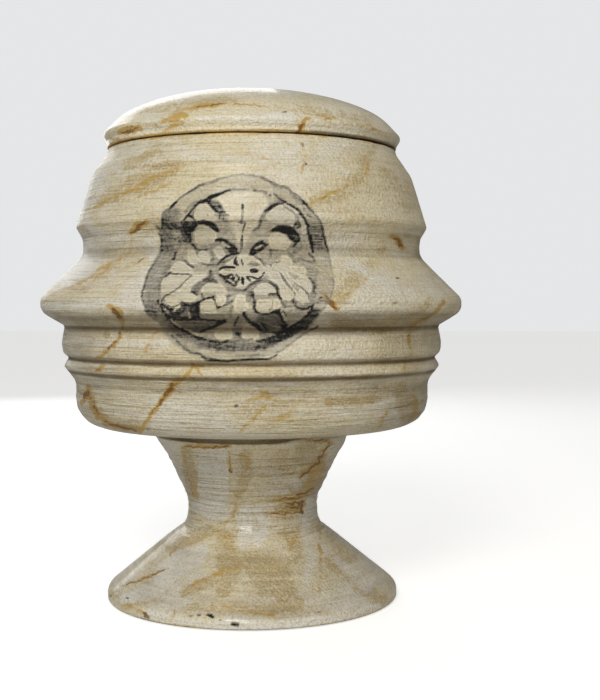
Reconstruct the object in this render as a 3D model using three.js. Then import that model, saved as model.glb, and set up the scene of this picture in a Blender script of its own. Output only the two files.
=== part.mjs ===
// A round cremation urn of painted earthenware: a domed lid, a moulded hollow vessel and a flared
// pedestal foot. Millimetres, +Z up. The origin is on the ground, on the axis of the urn.
import * as THREE from "three";

// Pedestal foot, from the ground up
const footRadius = 80.8;
const footBaseRound = 1.6;
const footRimHeight = 5.9;
const footRimRound = 5;
const footRingWidth = 10.5;
const coneHeight = 35;
const neckSpread = 2;
const neckRound = 8;
const neckHeight = 12;
const waistRadius = 36;
const waistRound = 18;
const flareHeight = 24.3;
const flareSpread = 11.2;
const flareRound = 40;
const collarHeight = 13.3;
const collarSpread = 8.2;
const collarRound = 0.9;
const pedestalWall = 8;

// The raised pad on top of the pedestal, which carries the vessel
const padInset = 8.4;
const padHeight = 5;

// Vessel, from its underside up
const drumRadius = 97.6;
const drumEdgeRound = 15;
const drumHeight = 24.6;
const drumTopRound = 8;
const beadStandOut = 5.9;
const beadHeight = 8.5;
const beadRound = 2.3;
const lowGrooveDepth = 2.3;
const lowGrooveHeight = 4.3;
const lowGrooveRound = 0.8;
const bandStandOut = 2.8;
const bandFootHeight = 2.6;
const bandFootRound = 3;
const bandBulge = 0.9;
const bandBulgeHeight = 4.7;
const bandBulgeRound = 10;
const highGrooveDepth = 1.8;
const highGrooveHeight = 9.7;
const highGrooveRound = 1.8;
const rollStandOut = 12.7;
const rollHeight = 12;
const rollRound = 7.5;
const hollowDepth = 23.1;
const hollowRise = 26.5;
const hollowRound = 9;
const hollowHeight = 8.6;
const hollowFlare = 0.8;
const hollowTopRound = 2;
const lipStandOut = 3.3;
const lipHeight = 6.4;
const lipRound = 2.4;
const shoulderHeight = 27.4;
const shoulderInset = 8.5;
const shoulderRound = 16;
const rimSlopeHeight = 12.2;
const rimSlopeInset = 8.2;
const rimFootRound = 3;
const rimHeight = 2.3;
const rimTaper = 0.6;
const rimWidth = 11.5;
const mouthDepth = 6.6;
const vesselWall = 8;
const insideRound = 4;

// Lid, from its seat up
const lidOverhang = 2.3;
const coveStandOut = 0.4;
const coveHeight = 2.8;
const coveRound = 1.2;
const lidEdgeHeight = 3.8;
const lidEdgeRound = 2.3;
const creaseInset = 8.5;
const creaseHeight = 9.3;
const domeDepth = 30.2;
const lidWall = 8;
const ledgeWidth = 7.6;
const flangeWidth = 6.5;
const flangeDepth = 6.3;
const flangeRound = 1.2;

// Fits
const seatGap = 0.3;
const flangeClearance = 1.1;

// Facets
const segments = 36;
const arcStep = Math.PI / 6.5;
const roundShare = 0.62;
const noseShare = 0.49;
const domeSteps = 6;

// Colours of the painted ground
const paint = {
  lid: { color: 0xd8cfae, roughness: 0.42, metalness: 0 },
  vessel: { color: 0xd3cbb0, roughness: 0.42, metalness: 0 },
  pedestal: { color: 0xcfc8b8, roughness: 0.42, metalness: 0 },
};

// The outline through corners given as [radius, height, rounding], with each rounding an arc.
// A rounding is limited by the length of its two edges.
function roundedOutline(corners) {
  const points = [];
  corners.forEach(([r, z, rounding = 0], i) => {
    const corner = new THREE.Vector2(r, z);
    if (!rounding || i === 0 || i === corners.length - 1) {
      points.push(corner);
      return;
    }
    const back = new THREE.Vector2(...corners[i - 1]).sub(corner);
    const ahead = new THREE.Vector2(...corners[i + 1]).sub(corner);
    const half = back.angleTo(ahead) / 2;
    const room = roundShare * Math.min(back.length(), ahead.length());
    const reach = Math.min(rounding / Math.tan(half), room);
    const radius = reach * Math.tan(half);
    const inward = back.clone().normalize().add(ahead.clone().normalize()).normalize();
    const centre = corner.clone().addScaledVector(inward, radius / Math.sin(half));
    const from = back.clone().setLength(reach).add(corner).sub(centre);
    const to = ahead.clone().setLength(reach).add(corner).sub(centre);
    const sweep = Math.PI - 2 * half;
    const turn = Math.sign(from.cross(to)) * sweep;
    const steps = Math.max(1, Math.ceil(sweep / arcStep));
    for (let k = 0; k <= steps; k += 1) {
      const spoke = from.clone().rotateAround(new THREE.Vector2(), (turn * k) / steps);
      points.push(spoke.add(centre));
    }
  });
  return points;
}

// The point where two lines meet, each given by a point and a direction.
function meeting(a, alongA, b, alongB) {
  const share = b.clone().sub(a).cross(alongB) / alongA.cross(alongB);
  return a.clone().addScaledVector(alongA, share);
}

// The corner whose rounding is a nose that just reaches the given radius at the given height,
// on an outline that goes up from one corner to the next.
function nose(before, radius, z, rounding, after) {
  const from = new THREE.Vector2(before[0], before[1]);
  const to = new THREE.Vector2(after[0], after[1]);
  const tip = new THREE.Vector2(radius, z);
  const room = noseShare * Math.min(tip.distanceTo(from), tip.distanceTo(to));
  const round = Math.min(rounding, room);
  const centre = new THREE.Vector2(radius - round, z);
  const rise = centre.clone().sub(from);
  const fall = to.clone().sub(centre);
  const up = rise.angle() - Math.asin(round / rise.length());
  const down = fall.angle() + Math.asin(round / fall.length());
  const alongUp = new THREE.Vector2(Math.cos(up), Math.sin(up));
  const alongDown = new THREE.Vector2(Math.cos(down), Math.sin(down));
  return [...meeting(from, alongUp, to, alongDown), round];
}

// The inner corners of a wall that follows the outline on its left side.
function insetCorners(corners, wall, rounding) {
  const edges = corners.slice(1).map(([r, z], i) => {
    const start = new THREE.Vector2(corners[i][0], corners[i][1]);
    const along = new THREE.Vector2(r, z).sub(start).normalize();
    start.add(new THREE.Vector2(-along.y, along.x).multiplyScalar(wall));
    return { start, along };
  });
  return edges.slice(1).map(({ start, along }, i) => {
    const corner = meeting(edges[i].start, edges[i].along, start, along);
    return [corner.x, corner.y, rounding];
  });
}

// Points of a quarter ellipse about the axis, from the given radius up to the axis.
function ellipseCap(reach, width, depth, centreHeight) {
  const start = Math.acos(reach / width);
  return Array.from({ length: domeSteps + 1 }, (_, k) => {
    const turn = start + ((Math.PI / 2 - start) * k) / domeSteps;
    const r = k === domeSteps ? 0 : width * Math.cos(turn);
    return [r, centreHeight + depth * Math.sin(turn)];
  });
}

// A solid of revolution about Z, from a profile that starts and ends on the axis.
function turned(name, corners, finish) {
  const geometry = new THREE.LatheGeometry(roundedOutline(corners), segments);
  geometry.rotateX(Math.PI / 2);
  const mesh = new THREE.Mesh(geometry, new THREE.MeshStandardMaterial(finish));
  mesh.name = name;
  return mesh;
}

// Heights and radii of the pedestal's outline
const neckBottom = footRimHeight + coneHeight;
const waist = neckBottom + neckHeight;
const flare = waist + flareHeight;
const collarTop = flare + collarHeight;
const padTop = collarTop + padHeight;
const flareRadius = waistRadius + flareSpread;
const collarRadius = flareRadius + collarSpread;

// The pedestal is hollow and open below, under a closed top with a raised round pad.
function pedestalFoot() {
  const flank = [
    [footRadius, footRimHeight, footRimRound],
    [waistRadius + neckSpread, neckBottom, neckRound],
    [waistRadius, waist, waistRound],
    [flareRadius, flare, flareRound],
    [collarRadius, collarTop, collarRound],
  ];
  const inner = insetCorners([...flank, [0, collarTop]], pedestalWall, insideRound).reverse();
  const corners = [
    [0, inner[0][1]],
    ...inner,
    [footRadius - footRingWidth, 0],
    [footRadius, 0, footBaseRound],
    ...flank,
    [collarRadius - padInset, collarTop],
    [collarRadius - padInset, padTop],
    [0, padTop],
  ];
  return turned("pedestal_foot", corners, paint.pedestal);
}

// Heights and radii of the vessel's outline
const underside = padTop + seatGap;
const drumTop = underside + drumHeight;
const bead = drumTop + beadHeight;
const beadRadius = drumRadius + beadStandOut;
const lowGroove = bead + lowGrooveHeight;
const lowGrooveRadius = beadRadius - lowGrooveDepth;
const bandFoot = lowGroove + bandFootHeight;
const bandFootRadius = lowGrooveRadius + bandStandOut;
const bandBulgeTop = bandFoot + bandBulgeHeight;
const bandRadius = bandFootRadius + bandBulge;
const highGroove = bandBulgeTop + highGrooveHeight;
const highGrooveRadius = bandRadius - highGrooveDepth;
const roll = highGroove + rollHeight;
const rollRadius = highGrooveRadius + rollStandOut;
const hollow = roll + hollowRise;
const hollowRadius = rollRadius - hollowDepth;
const hollowTop = hollow + hollowHeight;
const hollowTopRadius = hollowRadius + hollowFlare;
const lip = hollowTop + lipHeight;
const lipRadius = hollowTopRadius + lipStandOut;
const shoulder = lip + shoulderHeight;
const shoulderRadius = lipRadius - shoulderInset;
const rimFoot = shoulder + rimSlopeHeight;
const rimFootRadius = shoulderRadius - rimSlopeInset;
const rim = rimFoot + rimHeight;
const rimRadius = rimFootRadius - rimTaper;
const mouthRadius = rimRadius - rimWidth;

// The vessel's wall keeps its thickness behind the mouldings, and its mouth is a straight bore.
function vesselBody() {
  const drumFoot = [drumRadius, underside, drumEdgeRound];
  const drumHead = [drumRadius, drumTop, drumTopRound];
  const groove = [lowGrooveRadius, lowGroove, lowGrooveRound];
  const upperGroove = [highGrooveRadius, highGroove, highGrooveRound];
  const cavetto = [hollowRadius, hollow, hollowRound];
  const cavettoTop = [hollowTopRadius, hollowTop, hollowTopRound];
  const shoulderBend = [shoulderRadius, shoulder, shoulderRound];
  const rimBend = [rimFootRadius, rimFoot, rimFootRound];
  const rollNose = nose(upperGroove, rollRadius, roll, rollRound, cavetto);
  const backbone = [
    [0, underside],
    drumFoot,
    drumHead,
    groove,
    upperGroove,
    rollNose,
    cavetto,
    cavettoTop,
    shoulderBend,
    rimBend,
  ];
  const inner = insetCorners(backbone, vesselWall, insideRound).reverse();
  const corners = [
    [0, underside],
    drumFoot,
    drumHead,
    nose(drumHead, beadRadius, bead, beadRound, groove),
    groove,
    [bandFootRadius, bandFoot, bandFootRound],
    [bandRadius, bandBulgeTop, bandBulgeRound],
    upperGroove,
    rollNose,
    cavetto,
    cavettoTop,
    nose(cavettoTop, lipRadius, lip, lipRound, shoulderBend),
    shoulderBend,
    rimBend,
    [rimRadius, rim],
    [mouthRadius, rim],
    [mouthRadius, rim - mouthDepth],
    ...inner,
    [0, inner[inner.length - 1][1]],
  ];
  return turned("vessel_body", corners, paint.vessel);
}

// The lid sits on the rim. A flange under it reaches into the mouth and keeps it centred.
function lid() {
  const seat = rim + seatGap;
  const cove = seat + coveHeight;
  const edge = cove + lidEdgeHeight;
  const lidRadius = rimRadius + lidOverhang;
  const crease = edge + creaseHeight;
  const creaseRadius = lidRadius - creaseInset;
  const domeCentre = crease - domeDepth * Math.sin(Math.acos(creaseRadius / lidRadius));
  const flangeRadius = mouthRadius - flangeClearance;
  const flangeInside = flangeRadius - flangeWidth;
  const flangeBottom = seat - flangeDepth;
  const ledge = seat + lidWall;
  const inside = ellipseCap(
    flangeInside + ledgeWidth,
    lidRadius - lidWall,
    domeDepth - lidWall,
    domeCentre,
  );
  const coveCorner = [rimRadius + coveStandOut, cove, coveRound];
  const dome = ellipseCap(creaseRadius, lidRadius, domeDepth, domeCentre);
  const corners = [
    ...inside.reverse(),
    [flangeInside + ledgeWidth, ledge],
    [flangeInside, ledge],
    [flangeInside, flangeBottom, flangeRound],
    [flangeRadius, flangeBottom, flangeRound],
    [flangeRadius, seat],
    [rimRadius, seat],
    coveCorner,
    nose(coveCorner, lidRadius, edge, lidEdgeRound, dome[0]),
    ...dome,
  ];
  return turned("lid", corners, paint.lid);
}

const urn = new THREE.Group();
urn.add(pedestalFoot(), vesselBody(), lid());
export default urn;
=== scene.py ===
"""A painted cremation urn over its CAD frame: a domed lid, a moulded vessel with a drawn medallion
and a flared pedestal foot. Metres, +Z up, the medallion towards -Y. Outlines, painting and the
photograph's own measures are worked out in millimetres or pixels and turned into metres at the end."""

import math

import bpy
import numpy as np
from bpy.props import FloatProperty, FloatVectorProperty, IntProperty, PointerProperty
from bpy.types import Operator, Panel, PropertyGroup
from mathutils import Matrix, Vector


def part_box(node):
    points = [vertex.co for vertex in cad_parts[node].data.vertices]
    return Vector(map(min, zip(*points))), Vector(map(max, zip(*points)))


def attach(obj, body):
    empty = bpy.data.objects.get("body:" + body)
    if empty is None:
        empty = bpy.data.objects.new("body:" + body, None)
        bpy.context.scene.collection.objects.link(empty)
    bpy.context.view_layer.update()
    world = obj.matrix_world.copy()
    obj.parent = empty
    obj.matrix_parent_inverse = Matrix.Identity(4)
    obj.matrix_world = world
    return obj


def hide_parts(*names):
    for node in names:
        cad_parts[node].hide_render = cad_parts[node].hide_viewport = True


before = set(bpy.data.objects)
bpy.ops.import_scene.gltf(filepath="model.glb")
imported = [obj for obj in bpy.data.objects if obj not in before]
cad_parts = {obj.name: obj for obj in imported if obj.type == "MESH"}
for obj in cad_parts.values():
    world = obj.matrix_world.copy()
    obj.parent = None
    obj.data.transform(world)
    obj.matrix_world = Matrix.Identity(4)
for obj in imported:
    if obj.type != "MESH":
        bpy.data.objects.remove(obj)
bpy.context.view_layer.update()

bl_info = {
    "name": "Painted Cremation Urn",
    "version": (1, 0, 0),
    "blender": (4, 5, 0),
    "location": "3D View > Sidebar > Urn",
    "description": "Builds a marbled urn with a lid, a moulded vessel and a pedestal foot",
    "category": "Object",
}

MM = 0.001
TURN = 2 * math.pi

# The viewing point that the drawing and the front veins are laid on from, and the camera's place
PICTURE_WIDTH = 600
PICTURE_HEIGHT = 700
SENSOR = 36.0
LENS = 60.4
VIEW_DISTANCE = 655.4
VIEW_HEIGHT = 162.9
VIEW_TURN = math.radians(3.0)
VIEW_HEADING = math.radians(-0.69)
VIEW_PITCH = math.radians(-2.32)
PIXEL_MM = 0.55

# How the frame's outlines are read and smoothed, in millimetres and radians
ON_PLANE = 0.02
SHARP_TURN = math.radians(40)
EDGE_ROUND = 0.7
CURVE_STEP = 0.12
ROW_BEND = math.radians(13)
INSIDE_ROW = 7.0

# Step of a stroke's path in pixels, and how much softer than written a filled light shape is
PATH_STEP = 3.0
BODY_SOFT = 2.6

# How much softer than written the marks are, and how far they stray in pixels
VEIN_HAND = (1.25, 0.9)
PATCH_HAND = (1.6, 1.0)

# Size in pixels of the random patches on the sides that the photograph hides
PATCH_SIZES = {"stain": 22, "pale": 24}

# Cosines between which the painting in front fades in, measured to the viewing point, and the
# patches behind, measured to straight up or down
FRONT_FADE = (0.02, 0.16)
STEEP_FADE = (0.98, 0.82)

# How far to both sides of a place its groove depth is measured, and the depth that counts as full
GROOVE_REACH = 7.0
GROOVE_FULL = 2.6

# Where the pieces meet, in millimetres
VESSEL_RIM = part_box("vessel_body")[1].z / MM
LID_SEAT = VESSEL_RIM + 0.3
COLLAR_TOP = 90.5
PAD_RADIUS = 47.0

# Marks on the lid, in the photograph's pixels: tone, softness, widths, points
LID_OCHRE = (
    (0.75, 3, (3, 8, 6), ((163, 122), (174, 118), (186, 116))),
    (0.70, 3, (3, 7, 4), ((166, 130), (174, 126), (184, 124))),
    (0.70, 2.5, (3, 5, 3), ((187, 109.5), (206, 106), (227, 103.5))),
    (0.55, 4, (2, 3), ((170, 113), (187, 109.5))),
    (0.75, 2, (1.6, 2, 2), ((225, 104), (250, 105), (268, 107))),
    (0.45, 2.5, (1.6, 2, 3), ((268, 107), (296, 110), (312, 116))),
    (0.80, 3, (5, 9, 5), ((118, 133), (128, 130), (140, 128))),
    (0.95, 3, (2, 3.5, 4, 3), ((112, 139), (150, 138), (200, 137.5), (250, 136.5), (300, 134))),
    (0.85, 2.5, (3, 7, 5), ((308, 117), (303, 126), (297, 134))),
    (0.65, 2.5, (2, 5, 2), ((314, 115), (326, 117), (338, 119))),
    (0.50, 2.5, (2, 3), ((322, 121), (336, 124))),
    (0.45, 3, (2, 4), ((350, 118), (372, 128), (388, 138))),
    (0.45, 3, (2, 3), ((140, 104), (155, 100), (170, 97))),
)
LID_UMBER = (
    (0.85, 1.6, (1.5, 3, 1.5), ((120, 133), (128, 131), (138, 129))),
    (0.60, 1.5, (1, 2, 1), ((124, 128), (132, 126), (136, 127))),
    (0.95, 1.6, (2, 4.5, 2), ((304, 124), (300, 129), (297, 133))),
    (0.60, 1.5, (1, 1.5, 1), ((166, 119), (172, 122), (176, 119))),
    (0.60, 1.5, (1, 1.5, 1), ((178, 118), (182, 122), (186, 118))),
    (0.50, 1.5, (1, 1.5), ((169, 128), (182, 126))),
    (0.70, 1.5, (1, 1.6, 1), ((196, 108), (212, 105), (226, 103.5))),
    (0.45, 1.5, (1, 1.2), ((228, 104), (266, 107))),
    (0.75, 1.6, (1.2, 1.6), ((115, 140), (150, 139), (205, 138.5))),
    (0.75, 1.6, (1.2, 1.8), ((215, 138), (262, 137), (300, 134.5))),
    (0.55, 1.5, (1, 1.5), ((316, 115.5), (334, 118.5))),
)
LID_STAIN = (
    (0.65, 12, (10, 18, 10), ((150, 112), (190, 105), (235, 99))),
    (0.55, 10, (10, 14), ((118, 130), (160, 122))),
    (0.55, 10, (10, 16), ((300, 108), (365, 122))),
    (0.35, 12, (10, 16), ((250, 95), (320, 98))),
    # Painted shade in the hollow under the lid's edge on the right
    (0.60, 6, (6, 8), ((312, 135), (350, 139), (392, 147))),
)
LID_PALE = (
    (0.75, 8, (8, 12), ((200, 120), (290, 118))),
    (0.55, 8, (5, 8), ((230, 96), (300, 92))),
    (0.45, 7, (5, 6), ((140, 118), (158, 110))),
)
LID_INK = (
    (0.45, 1.5, (1.0, 1.2), ((340, 136), (360, 139), (392, 147))),
    # Painted shade in the hollow under the lid's edge on the right
    (0.22, 4, (4, 6), ((312, 131), (350, 136), (393, 145))),
    (0.80, 1.2, (1.6, 1.6), ((284, 112), (285.5, 112))),
    (0.80, 1.2, (1.6, 1.6), ((196, 133), (199, 133))),
    (0.80, 1.2, (1.6, 1.6), ((204, 133), (206, 133))),
    (0.50, 1.2, (1.2, 1.2), ((237, 131), (239, 131))),
)

# Marks on the vessel, in the photograph's pixels
VESSEL_OCHRE = (
    (0.75, 3.5, (1.5, 3, 4, 2), ((84, 212), (100, 204), (124, 194), (150, 186))),
    (0.70, 3.5, (1.5, 3, 4, 2), ((98, 203), (124, 192), (150, 180), (186, 165))),
    (0.60, 3.5, (1.5, 3, 1.5), ((118, 205), (146, 194), (172, 182))),
    (0.50, 3.5, (1.5, 3, 1.5), ((92, 196), (104, 182), (116, 170))),
    (0.55, 3.5, (1.5, 2.5), ((60, 240), (76, 230), (92, 218))),
    (0.75, 3, (1.5, 2.5, 2.5, 2), ((360, 148), (366, 160), (365, 174), (352, 185))),
    (0.75, 3, (2, 3.5, 2), ((352, 185), (334, 192), (306, 206))),
    (0.50, 3.5, (1.5, 3, 2), ((395, 160), (404, 178), (412, 196))),
    (0.90, 4, (4, 8, 6), ((147, 222), (138, 226), (130, 233))),
    (0.75, 3, (2, 2.5, 3, 2.5, 2), ((131, 232), (131, 250), (108, 264), (82, 282), (50, 294))),
    (0.65, 3, (1.5, 3, 2), ((120, 256), (104, 272), (88, 284))),
    (0.45, 3.5, (1.5, 3, 1.5), ((150, 256), (122, 270), (98, 280))),
    (0.45, 3.5, (1.5, 3, 1.5), ((90, 274), (74, 286), (56, 300))),
    (0.60, 4, (3, 4), ((60, 282), (50, 292), (46, 302))),
    (0.90, 4, (5, 9, 5), ((110, 306), (118, 313), (124, 322))),
    (0.95, 3, (2.5, 3.5, 2.5), ((123, 320), (122, 334), (106, 351), (97, 358))),
    (0.90, 3, (3, 4), ((104, 364), (98, 371))),
    (1.00, 3, (4, 5, 5), ((89, 386), (87, 393), (83, 401))),
    (1.00, 3, (3, 5, 6), ((88, 389), (92, 402), (98, 418))),
    (0.95, 3.5, (4, 5.5, 5), ((98, 418), (118, 427), (140, 431))),
    (0.95, 3.5, (3, 5, 3.5), ((140, 431), (152, 414), (170, 391), (186, 374))),
    (0.95, 3, (4, 9, 5), ((162, 399), (171, 388), (179, 380))),
    (0.85, 2.5, (3, 4, 2), ((188, 372), (196, 367), (206, 366))),
    (0.80, 2.5, (2.5, 3), ((195, 368), (201, 375))),
    (0.65, 4, (3, 5, 3), ((240, 433), (254, 418), (266, 405))),
    (0.90, 3, (3, 4, 3), ((444, 301), (436, 312), (424, 319), (410, 327))),
    (0.80, 3, (2.5, 3.5, 2.5), ((410, 327), (408, 342), (413, 356))),
    (0.75, 3, (3, 4), ((405, 361), (404, 371))),
    (0.60, 6, (7, 10, 7), ((414, 392), (416, 408), (412, 424))),
    (0.75, 4, (3, 4, 3), ((380, 426), (386, 414), (392, 404))),
    (0.80, 4, (5, 7, 4), ((391, 236), (398, 241), (405, 249))),
    (0.45, 4, (2, 4, 3), ((382, 248), (366, 279), (330, 306))),
    (0.85, 4, (5, 7, 4), ((324, 295), (330, 302), (337, 311))),
    (0.55, 4, (3, 4), ((80, 226), (84, 229), (88, 233))),
    (0.50, 5, (5, 9, 4), ((246, 402), (262, 396), (282, 400))),
    (0.55, 5, (4, 8, 5), ((270, 424), (284, 416), (297, 405))),
    (0.55, 4, (3, 5, 3), ((186, 370), (192, 378), (198, 388))),
    (0.45, 5, (4, 5), ((300, 384), (316, 392), (330, 405))),
    (0.55, 4, (3, 5), ((160, 330), (150, 340), (146, 352))),
    (0.50, 4, (2, 4), ((230, 148), (252, 156), (270, 160))),
    (0.50, 5, (3, 5), ((300, 142), (306, 156), (300, 172))),
    (0.45, 5, (3, 5), ((420, 214), (424, 228), (420, 240))),
    (0.55, 4, (2, 3), ((330, 372), (352, 378), (372, 374))),
)
VESSEL_UMBER = (
    (1.00, 2, (2, 4.5, 2), ((146, 223), (139, 227), (132, 232))),
    (1.00, 2, (2, 4.5, 2), ((111, 307), (117, 313), (122, 319))),
    (0.90, 2, (1.5, 3, 1.5), ((89, 387), (86, 396), (84, 401))),
    (0.85, 2, (1.5, 2.5, 2), ((89, 391), (93, 404), (98, 416))),
    (0.85, 2, (2, 3, 2), ((104, 421), (122, 428), (138, 431))),
    (0.90, 2, (2, 4, 2), ((393, 238), (399, 242), (404, 248))),
    (1.00, 2, (2.5, 4.5, 2), ((325, 297), (331, 303), (336, 309))),
    (0.55, 2, (1.5, 2.5, 1.5), ((441, 305), (434, 313), (412, 326))),
    (0.50, 2, (1.5, 2, 1.5), ((409, 329), (408, 343), (412, 353))),
    (0.80, 2, (1.5, 3, 1.5), ((150, 415), (160, 402), (172, 389))),
    (1.00, 2, (2, 5, 2), ((164, 395), (170, 389), (177, 383))),
    (0.75, 2, (1.5, 2.5), ((102, 366), (96, 372))),
    (0.45, 2, (1.5, 2.5), ((112, 199), (138, 188))),
    (0.45, 2, (1.5, 2.5), ((345, 187), (322, 198))),
    (0.80, 2, (1.5, 2.5), ((123, 322), (120, 334), (108, 349))),
)
VESSEL_STAIN = (
    (0.65, 14, (14, 26, 14), ((100, 202), (140, 184), (176, 166))),
    (0.55, 12, (10, 18), ((90, 215), (106, 192))),
    (0.40, 9, (10, 18, 12), ((128, 256), (106, 272), (64, 296))),
    (0.60, 10, (10, 14), ((160, 150), (128, 165))),
    (0.55, 12, (14, 24, 14), ((372, 150), (352, 186), (312, 204))),
    (0.50, 14, (14, 22), ((385, 170), (410, 205))),
    (0.55, 12, (12, 22), ((384, 246), (338, 300))),
    (0.55, 10, (10, 16), ((430, 300), (412, 330))),
    (0.55, 9, (8, 12), ((106, 318), (108, 350))),
    (0.60, 10, (10, 16, 10), ((90, 396), (112, 424), (146, 426))),
    (0.60, 12, (12, 20, 12), ((246, 408), (280, 410), (304, 398))),
    (0.85, 12, (16, 24), ((400, 388), (412, 420))),
    (0.70, 12, (12, 18, 14), ((330, 404), (366, 398), (398, 386))),
    (0.85, 9, (10, 14, 12), ((336, 322), (380, 326), (424, 318))),
    (0.45, 8, (6, 8), ((120, 366), (230, 372), (330, 370))),
    (0.40, 9, (6, 8), ((240, 208), (330, 214), (400, 222))),
    (0.50, 9, (6, 8), ((88, 222), (140, 226), (170, 222))),
)
VESSEL_PALE = (
    (0.95, 10, (18, 30, 18), ((90, 236), (86, 258), (64, 280))),
    (0.85, 10, (14, 22), ((150, 242), (156, 268), (128, 296))),
    (0.80, 8, (8, 14), ((48, 308), (100, 304), (150, 300))),
    (0.75, 8, (8, 12), ((86, 222), (92, 230), (120, 240))),
    (0.70, 12, (12, 20), ((86, 208), (100, 180))),
    (0.55, 12, (10, 16), ((300, 152), (230, 160), (180, 152))),
    (0.60, 10, (10, 14), ((130, 300), (140, 312))),
    (0.60, 8, (6, 9), ((74, 340), (120, 345), (165, 343))),
    (0.55, 10, (10, 16), ((350, 262), (392, 286))),
    (0.55, 8, (6, 9), ((200, 388), (240, 386), (300, 382))),
    (0.50, 10, (8, 12), ((160, 404), (200, 412))),
    (0.55, 9, (6, 10), ((392, 252), (416, 282), (440, 296))),
    (0.45, 10, (8, 12), ((330, 164), (345, 172))),
)
VESSEL_PITS = (
    (0.90, 1, (1.6, 1.6), ((305.5, 164), (306.5, 164))),
    (0.80, 1, (1.5, 1.5), ((302.5, 145), (303.5, 145))),
    (0.80, 1, (1.5, 1.5), ((284.5, 117.5), (285.5, 117.5))),
    (0.75, 1, (1.5, 1.5), ((150.5, 160), (151.5, 160))),
    (0.90, 1, (1.8, 1.8), ((235.5, 406), (237, 406))),
    (0.80, 1, (1.6, 1.6), ((397.5, 278), (398.5, 278))),
    (0.80, 1, (1.6, 1.6), ((394.5, 303), (396, 303))),
    (0.60, 1, (1.2, 1.2), ((331, 350.5), (336, 350))),
    (0.50, 1, (1.2, 1.2), ((138, 262), (144, 258))),
)

# Marks on the pedestal foot, in the photograph's pixels
FOOT_OCHRE = (
    (0.85, 3, (3, 5, 3), ((182, 446), (204, 446), (230, 446))),
    (0.80, 2, (2, 3, 1.5), ((229, 452), (230, 462), (231, 473))),
    (0.70, 2, (2, 2.5), ((230, 454), (240, 456), (248, 458))),
    (0.70, 2, (2.5, 3, 2), ((248, 457), (247, 464), (245, 472))),
    (0.60, 4, (3, 5, 6), ((183, 450), (190, 474), (197, 498))),
    (0.30, 6, (4, 7, 5), ((245, 474), (241, 486), (238, 496))),
    (0.50, 5, (4, 6, 5), ((238, 496), (236, 506), (232, 516))),
    (0.40, 6, (5, 7, 4), ((232, 517), (224, 523), (216, 528))),
    (0.85, 3, (2, 4, 3), ((331, 442), (314, 465), (299, 478))),
    (0.65, 3, (2, 4), ((322, 466), (310, 480), (304, 488))),
    (0.65, 6, (10, 14, 12), ((324, 452), (318, 468), (309, 488))),
    (0.85, 2, (2, 4, 3), ((312, 489), (304, 494), (296, 497))),
    (0.80, 2, (2, 4, 3), ((274, 499), (286, 499), (302, 496))),
    (0.80, 2, (2, 4, 3), ((280, 504), (290, 503), (303, 501))),
    (0.80, 2, (2, 4, 3), ((277, 508), (290, 507), (303, 505))),
    (0.80, 2, (2, 3, 3), ((262, 512), (275, 513), (301, 511))),
    (0.60, 2, (2, 3), ((264, 517), (284, 517))),
    (0.75, 3, (3, 5), ((300, 438), (316, 441), (332, 443))),
    (0.75, 2.5, (2, 3.5, 2), ((124, 586), (146, 577), (168, 569))),
    (0.55, 3, (3, 6, 3), ((181, 592), (198, 582), (216, 575))),
    (0.55, 3, (3, 6, 4), ((198, 582), (222, 572), (242, 564))),
    (0.60, 2, (1.5, 2.5), ((189, 536), (180, 545), (169, 555))),
    (0.55, 2, (1.5, 2.5), ((207, 532), (198, 540), (190, 545))),
    (0.50, 4, (5, 9, 5), ((214, 530), (226, 536), (234, 548))),
    (0.50, 4, (4, 8, 5), ((300, 520), (298, 532), (290, 548))),
    (0.50, 3, (3, 5, 3), ((318, 528), (321, 560), (319, 596))),
    (0.60, 3, (4, 6, 4), ((124, 606), (136, 609), (148, 615))),
    (0.65, 2, (1.5, 3), ((175, 608), (173, 616))),
    (0.45, 4, (4, 6, 4), ((218, 604), (246, 612), (276, 616))),
    (0.40, 4, (4, 6), ((150, 560), (136, 572))),
)
FOOT_UMBER = (
    (0.95, 1.6, (1.4, 2.6, 1.8), ((330, 444), (316, 463), (301, 477))),
    (0.90, 1.6, (1.4, 2.2), ((313, 488), (305, 493), (297, 495))),
    (0.90, 1.6, (1.2, 2.4, 1.6), ((280, 499), (292, 499), (302, 497))),
    (0.90, 1.6, (1.2, 2.6, 1.6), ((284, 503.5), (294, 503), (303, 501))),
    (0.90, 1.6, (1.2, 2.6, 1.6), ((282, 508), (292, 507.5), (303, 506))),
    (0.90, 1.6, (1.2, 1.8, 1.6), ((262, 513.5), (280, 514), (301, 513))),
    (0.90, 1.6, (2, 3), ((302, 500), (302, 513))),
    (0.80, 1.6, (1.5, 2.2), ((184, 447), (204, 447.5), (228, 446.5))),
    (0.70, 1.6, (2, 2.5), ((302, 439), (328, 442))),
    (0.95, 1.6, (2, 4, 2), ((144, 613), (147, 616), (149, 617))),
    (0.65, 1.6, (1.2, 2), ((229, 453), (230.5, 462))),
    (0.85, 1.4, (1.6, 2), ((230, 469), (231, 473))),
    (0.60, 1.4, (1.2, 1.8), ((233, 454), (246, 457))),
    (0.80, 1.4, (1.2, 1.6), ((126, 585), (148, 577), (164, 570))),
    (0.60, 1.4, (1, 1.5), ((188, 538), (172, 552))),
    (0.75, 1.4, (1.2, 2), ((175, 609), (173.5, 615))),
    (0.50, 1.6, (1.4, 2), ((186, 470), (194, 494))),
    (0.50, 1.4, (1, 1.4), ((303, 470), (322, 462))),
    (0.50, 1.4, (1, 1.4), ((303, 480), (318, 474))),
)
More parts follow.
